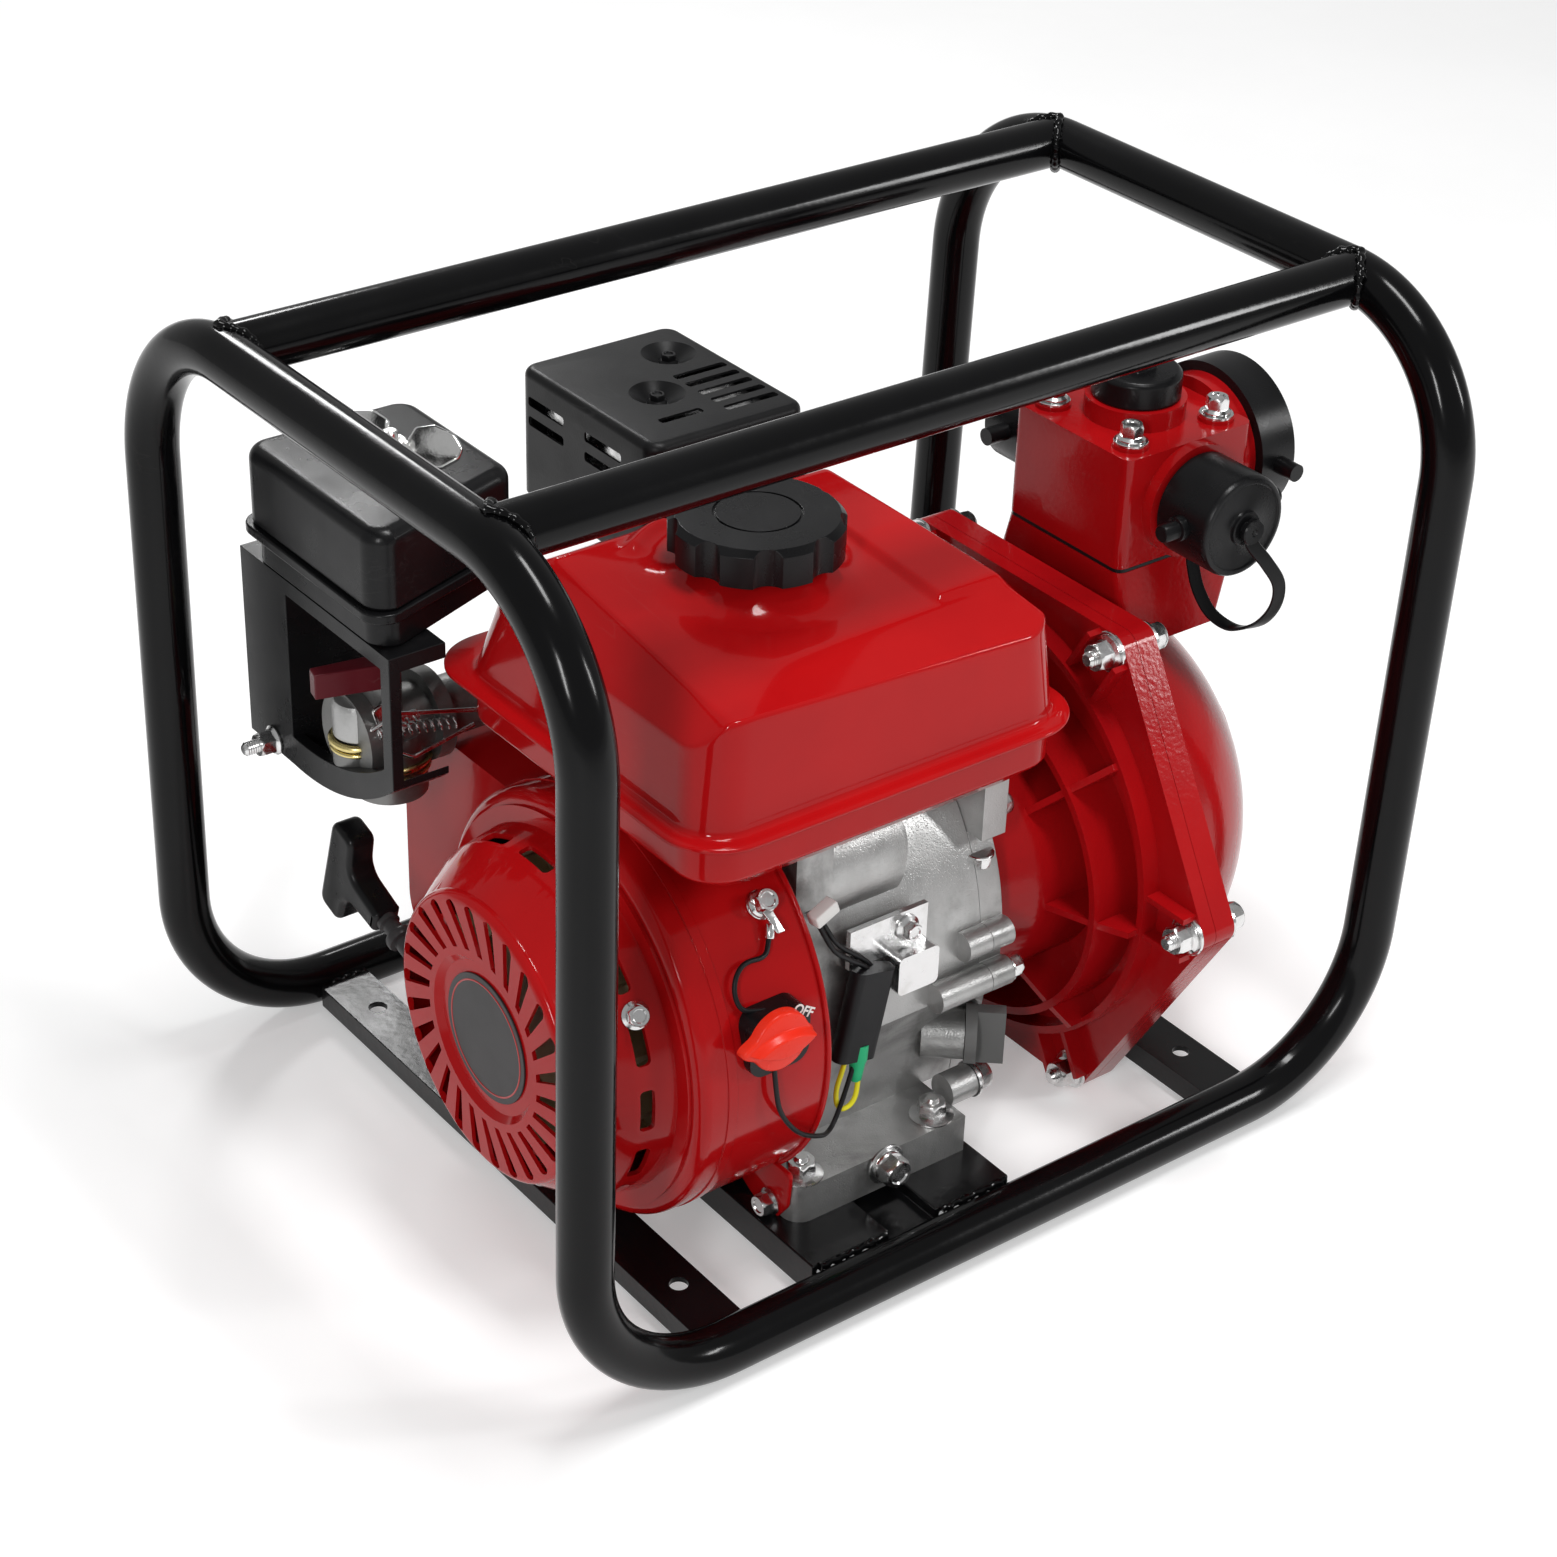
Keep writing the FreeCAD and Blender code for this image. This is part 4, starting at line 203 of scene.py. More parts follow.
def castMetal(name, colour, stain, metal, rough, grain, stainAmount):
    # sand or die casting: pitted grain, darker stains in a cloud
    f = Finish(name)
    cloud = f.noise(17.0, 6.0, 0.65, None, 0.4)
    streak = f.noise(60.0, 4.0, 0.6, (1.0, 1.0, 0.25)).between(0.5, 0.8) * 0.4
    tone = f.blend((cloud.between(0.42, 0.72) + streak) * stainAmount, colour, stain)
    pits = f.cells(950.0).between(0.0, 0.45)
    height = f.noise(820.0, 3.0, 0.6) * 0.6 + pits * 0.4 + f.noise(90.0, 2.0) * 0.9
    roughness = f.noise(60.0, 4.0).between(0.3, 0.75, rough * 0.82, rough * 1.25)
    f.fixed(Metallic=metal)
    return f.varying(tone, roughness, f.bump(height, grain))


def moulded(name, colour, worn, rough, grain=3e-5, scale=1300.0):
    # moulded plastic or rubber: fine grain, slight scuffs
    f = Finish(name)
    scuff = scratchMask(f, 70.0, 0.02) + f.noise(26.0, 4.0).between(0.55, 0.9) * 0.25
    tone = f.blend(scuff * 0.35, colour, worn)
    roughness = f.noise(40.0, 4.0).between(0.3, 0.8, rough * 0.85, rough * 1.2)
    height = f.noise(scale, 2.0, 0.6) * 0.7 + f.cells(scale * 0.8) * 0.3
    f.fixed(IOR=1.3)
    return f.varying(tone, roughness, f.bump(height, grain))


def plated(name, colour, rough, tint, tintAmount):
    # zinc or chrome plate: brushed streaks, faint tarnish
    f = Finish(name)
    cloud = f.noise(55.0, 4.0, 0.6).between(0.45, 0.75)
    tone = f.blend(cloud * tintAmount, colour, tint)
    roughness = f.noise(150.0, 3.0).between(0.3, 0.8, rough * 0.7, rough * 1.5)
    f.fixed(Metallic=1.0)
    return f.varying(tone, roughness, f.bump(f.noise(420.0, 2.0), 6e-5))


recipes = {   # finish: (maker, its values)
    "frameBlack": (enamel, (0.0015, 0.0015, 0.0017), (0.003, 0.003, 0.0034), 0.16, 0.05,
                   4e-5, 0.015, 1.25),
    "plateBlack": (enamel, (0.004, 0.004, 0.0045), (0.008, 0.008, 0.008), 0.2, 0.05,
                   8e-5, 0.05, 1.33),
    "redSheet": (enamel, (0.44, 0.0055, 0.0065), (0.37, 0.004, 0.0055), 0.1, 0.12,
                 3e-5, 0.02, 1.22),
    "redCasting": (enamel, (0.41, 0.005, 0.0065), (0.31, 0.003, 0.0055), 0.17, 0.12,
                   0.00012, 0.03, 1.25, 420.0),
    "badgeRed": (enamel, (0.5, 0.02, 0.02), (0.42, 0.015, 0.015), 0.3, 0.3, 2e-5, 0.02),
    "castAluminium": (castMetal, (0.44, 0.44, 0.435), (0.17, 0.17, 0.165), 0.8, 0.36,
                      0.00018, 0.85),
    "darkAluminium": (castMetal, (0.22, 0.22, 0.215), (0.09, 0.09, 0.09), 0.75, 0.42,
                      0.00012, 0.7),
    "zinc": (plated, (0.72, 0.72, 0.72), 0.22, (0.42, 0.41, 0.38), 0.5),
    "chrome": (plated, (0.88, 0.88, 0.87), 0.17, (0.62, 0.62, 0.6), 0.25),
    "brass": (plated, (0.72, 0.6, 0.26), 0.26, (0.42, 0.32, 0.12), 0.5),
    "guardBlack": (moulded, (0.006, 0.006, 0.0065), (0.03, 0.03, 0.03), 0.38, 5e-5, 900.0),
    "blackPlastic": (moulded, (0.006, 0.006, 0.0066), (0.03, 0.03, 0.03), 0.3, 5e-5),
    "badgeGrey": (moulded, (0.035, 0.033, 0.034), (0.08, 0.08, 0.08), 0.35, 2e-5),
    "greyPlastic": (moulded, (0.13, 0.13, 0.128), (0.2, 0.2, 0.2), 0.42, 6e-5),
    "creamPlastic": (moulded, (0.46, 0.4, 0.24), (0.36, 0.3, 0.18), 0.42),
    "knobRed": (moulded, (0.8, 0.03, 0.012), (0.55, 0.03, 0.015), 0.3),
    "chokeRed": (moulded, (0.11, 0.012, 0.018), (0.3, 0.2, 0.2), 0.3, 4e-5),
    "rubber": (moulded, (0.007, 0.007, 0.008), (0.04, 0.04, 0.04), 0.42, 6e-5),
    "wireYellow": (moulded, (0.75, 0.68, 0.02), (0.5, 0.45, 0.03), 0.35),
    "wireGreen": (moulded, (0.02, 0.42, 0.18), (0.02, 0.3, 0.15), 0.35),
    "markWhite": (moulded, (0.8, 0.8, 0.78), (0.6, 0.6, 0.58), 0.45, 2e-5),
}
finishes = {name: maker(name, *values) for name, (maker, *values) in recipes.items()}
print("stage:", len(finishes), "finishes")


def claimed(piece, body, replaced):
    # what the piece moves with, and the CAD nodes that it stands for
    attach(piece, body)
    if replaced:
        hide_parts(*replaced)


def shaded(mesh, finish, sharp):
    # smooth, but creased at edges that are sharper than the angle
    mesh.materials.append(finishes[finish])
    mesh.shade_smooth()
    mesh.set_sharp_from_angle(angle=math.radians(sharp))


def addPiece(name, verts, faces, finish, slot, body="root", replaces=(), sharp=35.0):
    # verts in metres, faces as index lists
    mesh = bpy.data.meshes.new(name)
    mesh.from_pydata(np.asarray(verts, float).tolist(), [], [list(f) for f in faces])
    shaded(mesh, finish, sharp)
    claimed(added(name, mesh), body, replaces)


def around(count):
    # angles of a full turn, in radians
    return np.linspace(0, 2 * np.pi, count, endpoint=False)


def gridFaces(rows, columns, wrapRows=False, wrapColumns=False, flip=False):
    # quads of a grid of rows x columns points, either way closed on itself
    i = np.arange(rows if wrapRows else rows - 1)
    j = np.arange(columns if wrapColumns else columns - 1)
    i, j = np.meshgrid(i, j, indexing="ij")
    a = (i % rows) * columns + j % columns
    b = (i % rows) * columns + (j + 1) % columns
    c = ((i + 1) % rows) * columns + (j + 1) % columns
    d = ((i + 1) % rows) * columns + j % columns
    return np.stack([a, d, c, b] if flip else [a, b, c, d], -1).reshape(-1, 4).tolist()


def stacked(rings):
    # rings (rows x columns x 3, mm) joined to a closed skin, with flat ends
    rows, columns = rings.shape[:2]
    faces = gridFaces(rows, columns, False, True)
    faces.append(list(range(columns))[::-1])
    faces.append(list(range((rows - 1) * columns, rows * columns)))
    return rings.reshape(-1, 3) * mm, faces


def merged(parts):
    # several (verts, faces) in one
    verts, faces, start = [], [], 0
    for v, f in parts:
        verts.append(np.asarray(v, float))
        faces += [[k + start for k in face] for face in f]
        start += len(v)
    return np.concatenate(verts), faces


def turnedTo(axis):
    # matrix whose third column is the axis
    z = np.array(axis, float) / np.linalg.norm(axis)
    side = np.array((0.0, 0.0, 1.0)) if abs(z[2]) < 0.9 else np.array((1.0, 0.0, 0.0))
    x = np.cross(side, z)
    x /= np.linalg.norm(x)
    return np.stack([x, np.cross(z, x), z], 1)


def lathe(profile, place, axis, count=48, lobes=None):
    # profile (radius, height) in mm turned about the axis at place; lobes(angle, radius, height)
    # may change the radius; both ends are flat
    profile = np.array(profile, float)
    angle = around(count)
    radius = np.repeat(profile[:, :1], count, 1)
    height = np.repeat(profile[:, 1:], count, 1)
    if lobes:
        radius = lobes(angle[None, :], radius, height)
    local = np.stack([radius * np.cos(angle), radius * np.sin(angle), height], -1)
    return stacked(local @ turnedTo(axis).T + np.array(place, float))


def hexagon(across):
    # lobes for a hexagon of that width across flats: a radius past the flats is cut to
    # across / 2 / cos(angle from the nearest flat)
    def shape(angle, radius, height):
        flat = np.abs(((angle + np.pi / 6) % (np.pi / 3)) - np.pi / 6)
        cut = np.minimum(radius, across / 2 / np.cos(flat))
        return np.where(radius > across / 2 - 0.02, cut, radius)
    return shape


def ringPath(centre, radius, count, axis="z"):
    # a circle of points round a line through centre along z or x
    turn = around(count)
    x, y, z = centre
    c, s, flat = radius * np.cos(turn), radius * np.sin(turn), 0 * turn
    return np.stack([x + c, y + s, z + flat] if axis == "z" else [x + flat, y + c, z + s], 1)


def tubeAlong(path, radius, up, count=32, closedPath=False, ripple=None):
    # a round section carried along path (n x 3, mm); up is never along the path;
    # ripple(share, angle) multiplies the radius
    path = np.asarray(path, float)
    if closedPath:
        along = np.roll(path, -1, 0) - np.roll(path, 1, 0)
    else:
        along = np.gradient(path, axis=0)
    along /= np.linalg.norm(along, axis=1)[:, None]
    side = np.cross(along, np.array(up, float))
    side /= np.linalg.norm(side, axis=1)[:, None]
    rise = np.cross(side, along)
    angle = around(count)
    share = np.linspace(0, 1, len(path))[:, None]
    size = radius * (ripple(share, angle[None, :]) if ripple else np.ones((len(path), count)))
    ring = (side[:, None] * (size * np.cos(angle))[..., None]
            + rise[:, None] * (size * np.sin(angle))[..., None])
    rings = path[:, None] + ring
    if closedPath:
        return rings.reshape(-1, 3) * mm, gridFaces(len(path), count, True, True, True)
    verts, faces = stacked(rings)
    return verts, [face[::-1] for face in faces]


def rounded(points, radii, closed=False, arc=8, step=16.0):
    # straight runs between points (mm), each corner C cut from S to E by an arc of its radius:
    # ((1 - t)^2 S + 2 w t (1 - t) C + t^2 E) / ((1 - t)^2 + 2 w t (1 - t) + t^2), where
    # w = cos(turn / 2)
    points = np.asarray(points, float)
    corners = range(len(points)) if closed else range(1, len(points) - 1)
    out = [] if closed else [points[:1]]
    t = np.linspace(0, 1, arc)[:, None]
    for i, radius in zip(corners, radii):
        corner = points[i]
        toward = points[i - 1] - corner
        away = points[(i + 1) % len(points)] - corner
        toward, away = toward / np.linalg.norm(toward), away / np.linalg.norm(away)
        half = math.acos(np.clip(-toward @ away, -1, 1)) / 2
        w, cut = math.cos(half), radius * math.tan(half)
        first, middle, last = (1 - t) ** 2, 2 * w * t * (1 - t), t ** 2
        arcPoints = first * (corner + toward * cut) + middle * corner + last * (corner + away * cut)
        out.append(arcPoints / (first + middle + last))
    if closed:
        return np.concatenate(out)
    return densified(np.concatenate(out + [points[-1:]]), step)


def densified(path, step):
    # points added on the runs that are longer than the step
    runs = np.linalg.norm(np.diff(path, axis=0), axis=1)
    keep = np.concatenate([[0.0], np.cumsum(np.maximum(runs, 1e-9))])
    counts = np.maximum(1, np.ceil(runs / step)).astype(int)
    shares = [np.linspace(keep[i], keep[i + 1], c, endpoint=False) for i, c in enumerate(counts)]
    at = np.concatenate(shares + [keep[-1:]])
    return np.stack([np.interp(at, keep, path[:, k]) for k in range(3)], 1)


def slab(corners, radii, thick, edge, place, along, up, steps=4, arc=8):
    # an outline of rounded corners (n x 2, mm, counter-clockwise) in the plane of along and up at
    # place, thick across it, both rims quarter rounds: in by edge (1 - sin a), short by
    # edge (1 - cos a)
    outline = rounded(corners, radii, True, arc)
    tangent = np.roll(outline, -1, 0) - np.roll(outline, 1, 0)
    tangent /= np.linalg.norm(tangent, axis=1)[:, None]
    outward = np.stack([tangent[:, 1], -tangent[:, 0]], 1)
    a = np.linspace(0, np.pi / 2, steps)
    inset = edge * (1 - np.sin(a))
    height = thick / 2 - edge * (1 - np.cos(a))
    inset = np.concatenate([inset, inset[::-1]])[:, None, None]
    height = np.concatenate([-height, height[::-1]])[:, None, None]
    flat = outline[None] - outward[None] * inset
    along, up = np.array(along, float), np.array(up, float)
    normal = np.cross(along, up)
    rings = np.array(place, float) + flat[..., :1] * along + flat[..., 1:] * up + height * normal
    return stacked(rings)


record = frame["record"]
bodyOf = {node: body for body, nodes in record["behaviour"]["bodies"].items() for node in nodes}
merging = {"join": 2e-5, "flat": 0.8, "crease": 32}   # metres, degrees, degrees


def softened(node, width, finish, segments):
    # a copy of a CAD node with its triangles merged to flats and its edges rounded
    source = frame["nodes"][node].data
    place = np.array([v.co for v in source.vertices], float)
    source.calc_loop_triangles()
    corners = np.array([tuple(t.vertices) for t in source.loop_triangles])
    keys, index = np.unique(np.round(place, 6), axis=0, return_inverse=True)
    tris = index.reshape(-1)[corners]
    a, b, c = tris.T
    tris = tris[(a != b) & (b != c) & (a != c)]
    mesh = bpy.data.meshes.new(node + "Finish")
    mesh.from_pydata(keys.tolist(), [], tris.tolist())
    work = bmesh.new()
    work.from_mesh(mesh)
    bmesh.ops.remove_doubles(work, verts=work.verts, dist=merging["join"])
    bmesh.ops.dissolve_limit(work, angle_limit=math.radians(merging["flat"]), verts=work.verts,
                             edges=work.edges)
    work.to_mesh(mesh)
    work.free()
    shaded(mesh, finish, merging["crease"])
    piece = added(node + "Finish", mesh)
    bevel = piece.modifiers.new("edges", "BEVEL")
    bevel.width = width * mm
    bevel.segments = segments
    bevel.limit_method = "ANGLE"
    bevel.angle_limit = math.radians(merging["crease"])
    bevel.harden_normals = True
    bevel.use_clamp_overlap = True
    bevel.miter_outer = "MITER_ARC"
    claimed(piece, bodyOf[node], [node])


trees = {}


def seatOn(node, place, axis, reach=14.0):
    # where the line through place along axis meets the node's outside, from reach mm out (mm)
    if node not in trees:
        mesh = frame["nodes"][node].data
        trees[node] = BVHTree.FromPolygons([v.co for v in mesh.vertices],
                                           [p.vertices for p in mesh.polygons])
    direction = Vector(axis).normalized()
    start = Vector(place) * mm + direction * reach * mm
    hit = trees[node].ray_cast(start, -direction, 3 * reach * mm)[0]
    return np.array(hit) / mm if hit else np.array(place, float)


dressing = {   # node: (finish, edge rounding in mm)
    "left_cross_plate": ("plateBlack", 0.7), "right_cross_plate": ("plateBlack", 0.7),
    "engine_mount_plate": ("plateBlack", 0.9),
    "crankcase": ("castAluminium", 1.3), "crankcase_side_cover": ("castAluminium", 1.2),
    "dipstick_cap": ("greyPlastic", 2.4), "cylinder": ("castAluminium", 0.5),
    "cylinder_head": ("castAluminium", 1.5), "valve_cover": ("zinc", 2.5),
    "fan_housing": ("redSheet", 0.9), "recoil_cover": ("redSheet", 0.35),
    "recoil_badge": ("badgeGrey", 0.3), "flywheel_fan": ("creamPlastic", 0.5),
    "fuel_tank_lower": ("redSheet", 1.5), "fuel_cap": ("blackPlastic", 3.4),
    "muffler": ("zinc", 2), "muffler_guard": ("guardBlack", 0.4),
    "air_cleaner_cover": ("blackPlastic", 1.5), "air_cleaner_base": ("blackPlastic", 1),
    "air_elbow": ("blackPlastic", 0.8),
    "carburettor": ("darkAluminium", 0.8), "choke_lever": ("chokeRed", 0.8),
    "switch_plate": ("blackPlastic", 1),
    "oil_sensor": ("zinc", 2.6), "connector_sleeve": ("rubber", 3.2),
    "pump_adapter": ("redCasting", 1.1), "pump_casing": ("redCasting", 1.4),
    "suction_flange": ("redCasting", 1.2), "discharge_gasket": ("rubber", 0.2),
    "discharge_block": ("redCasting", 2), "priming_plug": ("blackPlastic", 1),
    "rear_outlet_cap": ("blackPlastic", 1), "main_outlet_cap": ("blackPlastic", 1.2),
}
fineRounding = 2.2     # mm; a wider edge takes four segments, others two
for node, (finish, width) in dressing.items():
    softened(node, width, finish, 4 if width > fineRounding else 2)
print("stage: CAD nodes dressed")


tubes = {
    "radius": 12.7, "leftX": -246.1, "rightX": 233.4, "leftLean": 3.2, "rightLean": 12.1,
    "halfWide": 179.7, "low": 12.7, "high": 415.3, "bend": 79, "splitZ": 97.7,
    "railY": 107.2, "count": 64, "arc": 30, "railRows": 9,
    "bead": 2.2, "beadOut": (0.4, 0.3), "beadRows": 90, "beadUp": (0.3, 0.2, 1), "beadCount": 12,
    "plateBead": 1.8, "plateInset": (3, 11.6), "plateDrop": 0.6, "plateWave": 0.5,
    "plateRows": 24, "plateCount": 10,
    # left edge, width and top of the plates that are welded to the bottom tubes
    "plates": [(-175, 28, 16), (144, 28, 16), (-109, 46, 22), (-35, 46, 22)],
}


def weldRipple(wave):
    # a hand-laid bead: 1 + 0.16 sin(120 s) + 0.1 sin(47 s)
    return lambda s, a: 1 + 0.16 * np.sin(s * 120 + wave) + 0.1 * np.sin(s * 47 + wave) + 0 * a


def addFrame(t):
    # every tube is a circle carried along straight runs and tangent arcs; the end bars lean outward
    def lean(x, tilt, z):
        return x + tilt * (z - t["low"]) / (t["high"] - t["low"])

    def addTube(name, skin):
        addPiece(name + "Tube", *skin, "frameBlack", "frame_black", replaces=[name])

    w, r, low, high, split = t["halfWide"], t["radius"], t["low"], t["high"], t["splitZ"]
    bends = [t["bend"]] * 2
    left, right = (t["leftX"], t["leftLean"]), (t["rightX"], t["rightLean"])
    for name, (x, tilt) in (("left_end_hoop", left), ("right_end_hoop", right)):
        foot, top = lean(x, tilt, split), x + tilt
        corners = [(foot, -w, split), (top, -w, high), (top, w, high), (foot, w, split)]
        addTube(name, tubeAlong(rounded(corners, bends, arc=t["arc"]), r, (1, 0, 0), t["count"]))
    for name, y in (("bottom_front_tube", -w), ("bottom_back_tube", w)):
        corners = [(lean(*left, split), y, split), (left[0], y, low), (right[0], y, low),
                   (lean(*right, split), y, split)]
        addTube(name, tubeAlong(rounded(corners, bends, arc=t["arc"]), r, (0, 1, 0), t["count"]))
    angle = around(t["count"])
    for name, y in (("front_top_rail", -t["railY"]), ("back_top_rail", t["railY"])):
        inset = r * np.abs(np.cos(angle))        # the ends are coped to the round of the bars
        share = np.linspace(0, 1, t["railRows"])[:, None]
        x = (sum(left) + inset) * (1 - share) + (sum(right) - inset) * share
        rings = [x, y + r * np.cos(angle) + 0 * x, high + r * np.sin(angle) + 0 * x]
        addTube(name, stacked(np.stack(rings, -1)))
    beads = []
    turn = around(t["beadRows"])
    gap, lift = t["beadOut"]
    for y in (-t["railY"], t["railY"]):
        for x, sign in ((sum(left), 1), (sum(right), -1)):
            spread = r * np.abs(np.cos(turn)) + gap
            path = np.stack([x + sign * spread, y + (r + lift) * np.cos(turn),
                             high + (r + lift) * np.sin(turn)], 1)
            beads.append(tubeAlong(path, t["bead"], t["beadUp"], t["beadCount"], True,
                                   weldRipple(y + x)))
    end, inward = t["plateInset"]
    for x, wide, z in t["plates"]:
        for side in (-1, 1):
            along = np.linspace(x + end, x + wide - end, t["plateRows"])
            path = np.stack([along, side * (w - inward) + 0 * along,
                             z - t["plateDrop"] + t["plateWave"] * np.sin(along)], 1)
            beads.append(tubeAlong(path, t["plateBead"], (0, 0, 1), t["plateCount"], False,
                                   weldRipple(x * side)))
    addPiece("frameWelds", *merged(beads), "frameBlack", "frame_black")


addFrame(tubes)
print("stage: tube frame")


tank = {
    # boxes are x low, x high, y low, y high, all in mm
    "flange": (-175, 47, -162, 60), "flangeCorner": 30, "seam": 264.1, "flangeThick": 2.3,
    "foot": (-166, 38, -153, 40), "wall": (-162, 34, -149, 22), "corner": 21,
    # rows of the rim: share of the way from foot to flange, share of its thickness, rise
    "rim": [(0.1, 0, 0), (0.94, 0, 0), (1, 0, 0.6), (1, 1, -0.7), (0.93, 1, 0),
            (0.5, 1, 0), (0.22, 1, 0.2), (0.07, 1, 1), (0, 1, 2.6)],
    "neck": (-71, -59), "neckFoot": 52, "neckRadius": 28, "neckTop": 341,
    "neckFlare": 1.8, "steps": (25, 70, 11),
    # the top's planes: heights, where they begin, slopes in mm per mm
    "ridge": (331, -61, 0.077, 0.03, 60), "frontEdge": (316.7, -0.061, -87),
    "frontBand": (326, 24), "leftSide": (305, 1.25), "leftTop": (-108, 0.12),
    "rightSide": (310, 1.06), "backSide": (318, -0.6), "soften": 0.35, "about": 325,
    # strip: x, y, rise, half its edge; rib: radius, first and last degree, rise
    "strip": (-17, -122, 2.5, 2.5), "rib": (57, 98, 132, 3.4), "ribWide": 4.5, "ribEnd": 5,
    "perSideAndCorner": (72, 16),
}


def ringOf(box, corner, perSide, perCorner):
    # a rounded rectangle (x low, x high, y low, y high), counter-clockwise, the same count of
    # points on each side and corner whatever its size
    x0, x1, y0, y1 = box
    out = []
    centres = ((x1 - corner, y1 - corner), (x0 + corner, y1 - corner),
               (x0 + corner, y0 + corner), (x1 - corner, y0 + corner))
    for i, centre in enumerate(centres):
        turn = np.linspace(i * np.pi / 2, (i + 1) * np.pi / 2, perCorner)
        arc = np.array(centre) + corner * np.stack([np.cos(turn), np.sin(turn)], 1)
        end = np.array([np.cos(turn[-1]), np.sin(turn[-1])])
        after = np.array(centres[(i + 1) % 4]) + corner * end
        share = np.linspace(0, 1, perSide + 2)[1:-1, None]
        out += [arc, arc[-1] * (1 - share) + after * share]
    return np.concatenate(out)


def eased(value, low, high):
    # 0 below low, 1 above high, 3 s^2 - 2 s^3 between
    s = np.clip((value - low) / (high - low), 0, 1)
    return s * s * (3 - 2 * s)


def tankTop(t, x, y):
    # height of the pressed top (mm): the soft least of its planes, -k log(sum(exp(-plane / k))),
    # with a raised strip on the right and a short arc of a rib behind the neck
    x0, x1, y0, y1 = t["wall"]
    level, ridgeY, fore, aft, long = t["ridge"]
    edge, edgeSlope, edgeX = t["frontEdge"]
    front = edge + edgeSlope * (x - edgeX)
    bandTop, bandLong = t["frontBand"]
    leftX, leftSlope = t["leftTop"]
    (leftLow, leftRise), (rightLow, rightRise) = t["leftSide"], t["rightSide"]
    backLow, backRise = t["backSide"]
    planes = [level + fore * np.minimum(y - ridgeY, 0) + aft * np.clip(y - ridgeY, 0, long),
              front + (bandTop - front) * (y - y0) / bandLong,
              leftLow + leftRise * (x - x0),
              level + leftSlope * (x - leftX) + fore * (y - ridgeY),
              rightLow + rightRise * (x1 - x),
              backLow + backRise * (y - y1)]
    k, about = t["soften"], t["about"]
    z = -k * np.log(sum(np.exp(-(p - about) / k) for p in planes)) + about
    stripX, stripY, rise, half = t["strip"]
    z = z + rise * eased(x, stripX - half, stripX + half) * eased(y, stripY - half, stripY + half)
    dx, dy = x - t["neck"][0], y - t["neck"][1]
    middle, start, stop, tall = t["rib"]
    bearing, end = np.degrees(np.arctan2(dy, dx)), t["ribEnd"]
    window = eased(bearing, start - end, start + end) * (1 - eased(bearing, stop - end, stop + end))
    return z + tall * window * np.exp(-((np.hypot(dx, dy) - middle) / t["ribWide"]) ** 2)


def addTank(t):
    # rings of the rim, walls, top and neck, stacked to one skin
    flange, foot, wall = (
        ringOf(t[name], t[corner], *t["perSideAndCorner"])
        for name, corner in (("flange", "flangeCorner"), ("foot", "corner"), ("wall", "corner")))
    neck = np.array(t["neck"])
    bearing = np.arctan2(wall[:, 1] - neck[1], wall[:, 0] - neck[0])
    circle = np.stack([np.cos(bearing), np.sin(bearing)], 1)

    def ring(plan, z):
        return np.column_stack([plan, np.broadcast_to(z, len(plan))])

    def toward(a, b, share):
        return a + (b - a) * share

    rows = [ring(toward(foot, flange, share), t["seam"] + t["flangeThick"] * top + rise)
            for share, top, rise in t["rim"]]
    held, last = len(rows), rows[-1][0, 2]
    wallRows, topRows, neckRows = t["steps"]
    edge = tankTop(t, *wall.T)
    for share in np.linspace(0, 1, wallRows)[1:]:
        rows.append(ring(toward(foot, wall, share), toward(last, edge, share)))
    inner = neck + t["neckFoot"] * circle
    for share in np.linspace(0, 1, topRows)[1:]:
        plan = toward(wall, inner, share)
        rows.append(ring(plan, tankTop(t, *plan.T)))
    for share in np.linspace(0, 1, neckRows)[1:]:
        plan = neck + toward(t["neckFoot"], t["neckRadius"], share) * circle
        base = tankTop(t, *plan.T)
        rows.append(ring(plan, toward(base, t["neckTop"], share ** t["neckFlare"])))
    rings = np.stack(rows)
    part = rings[held - 1:]        # creases rounded by [1, 2, 1] / 4 along both ways of the grid
    along = part.copy()
    along[1:-1] = (part[:-2] + 2 * part[1:-1] + part[2:]) / 4
    rings[held - 1:] = (np.roll(along, 1, 1) + 2 * along + np.roll(along, -1, 1)) / 4
    addPiece("tankUpperSkin", *stacked(rings), "redSheet", "red_paint",
             replaces=["fuel_tank_upper"], sharp=50)


addTank(tank)
print("stage: tank")


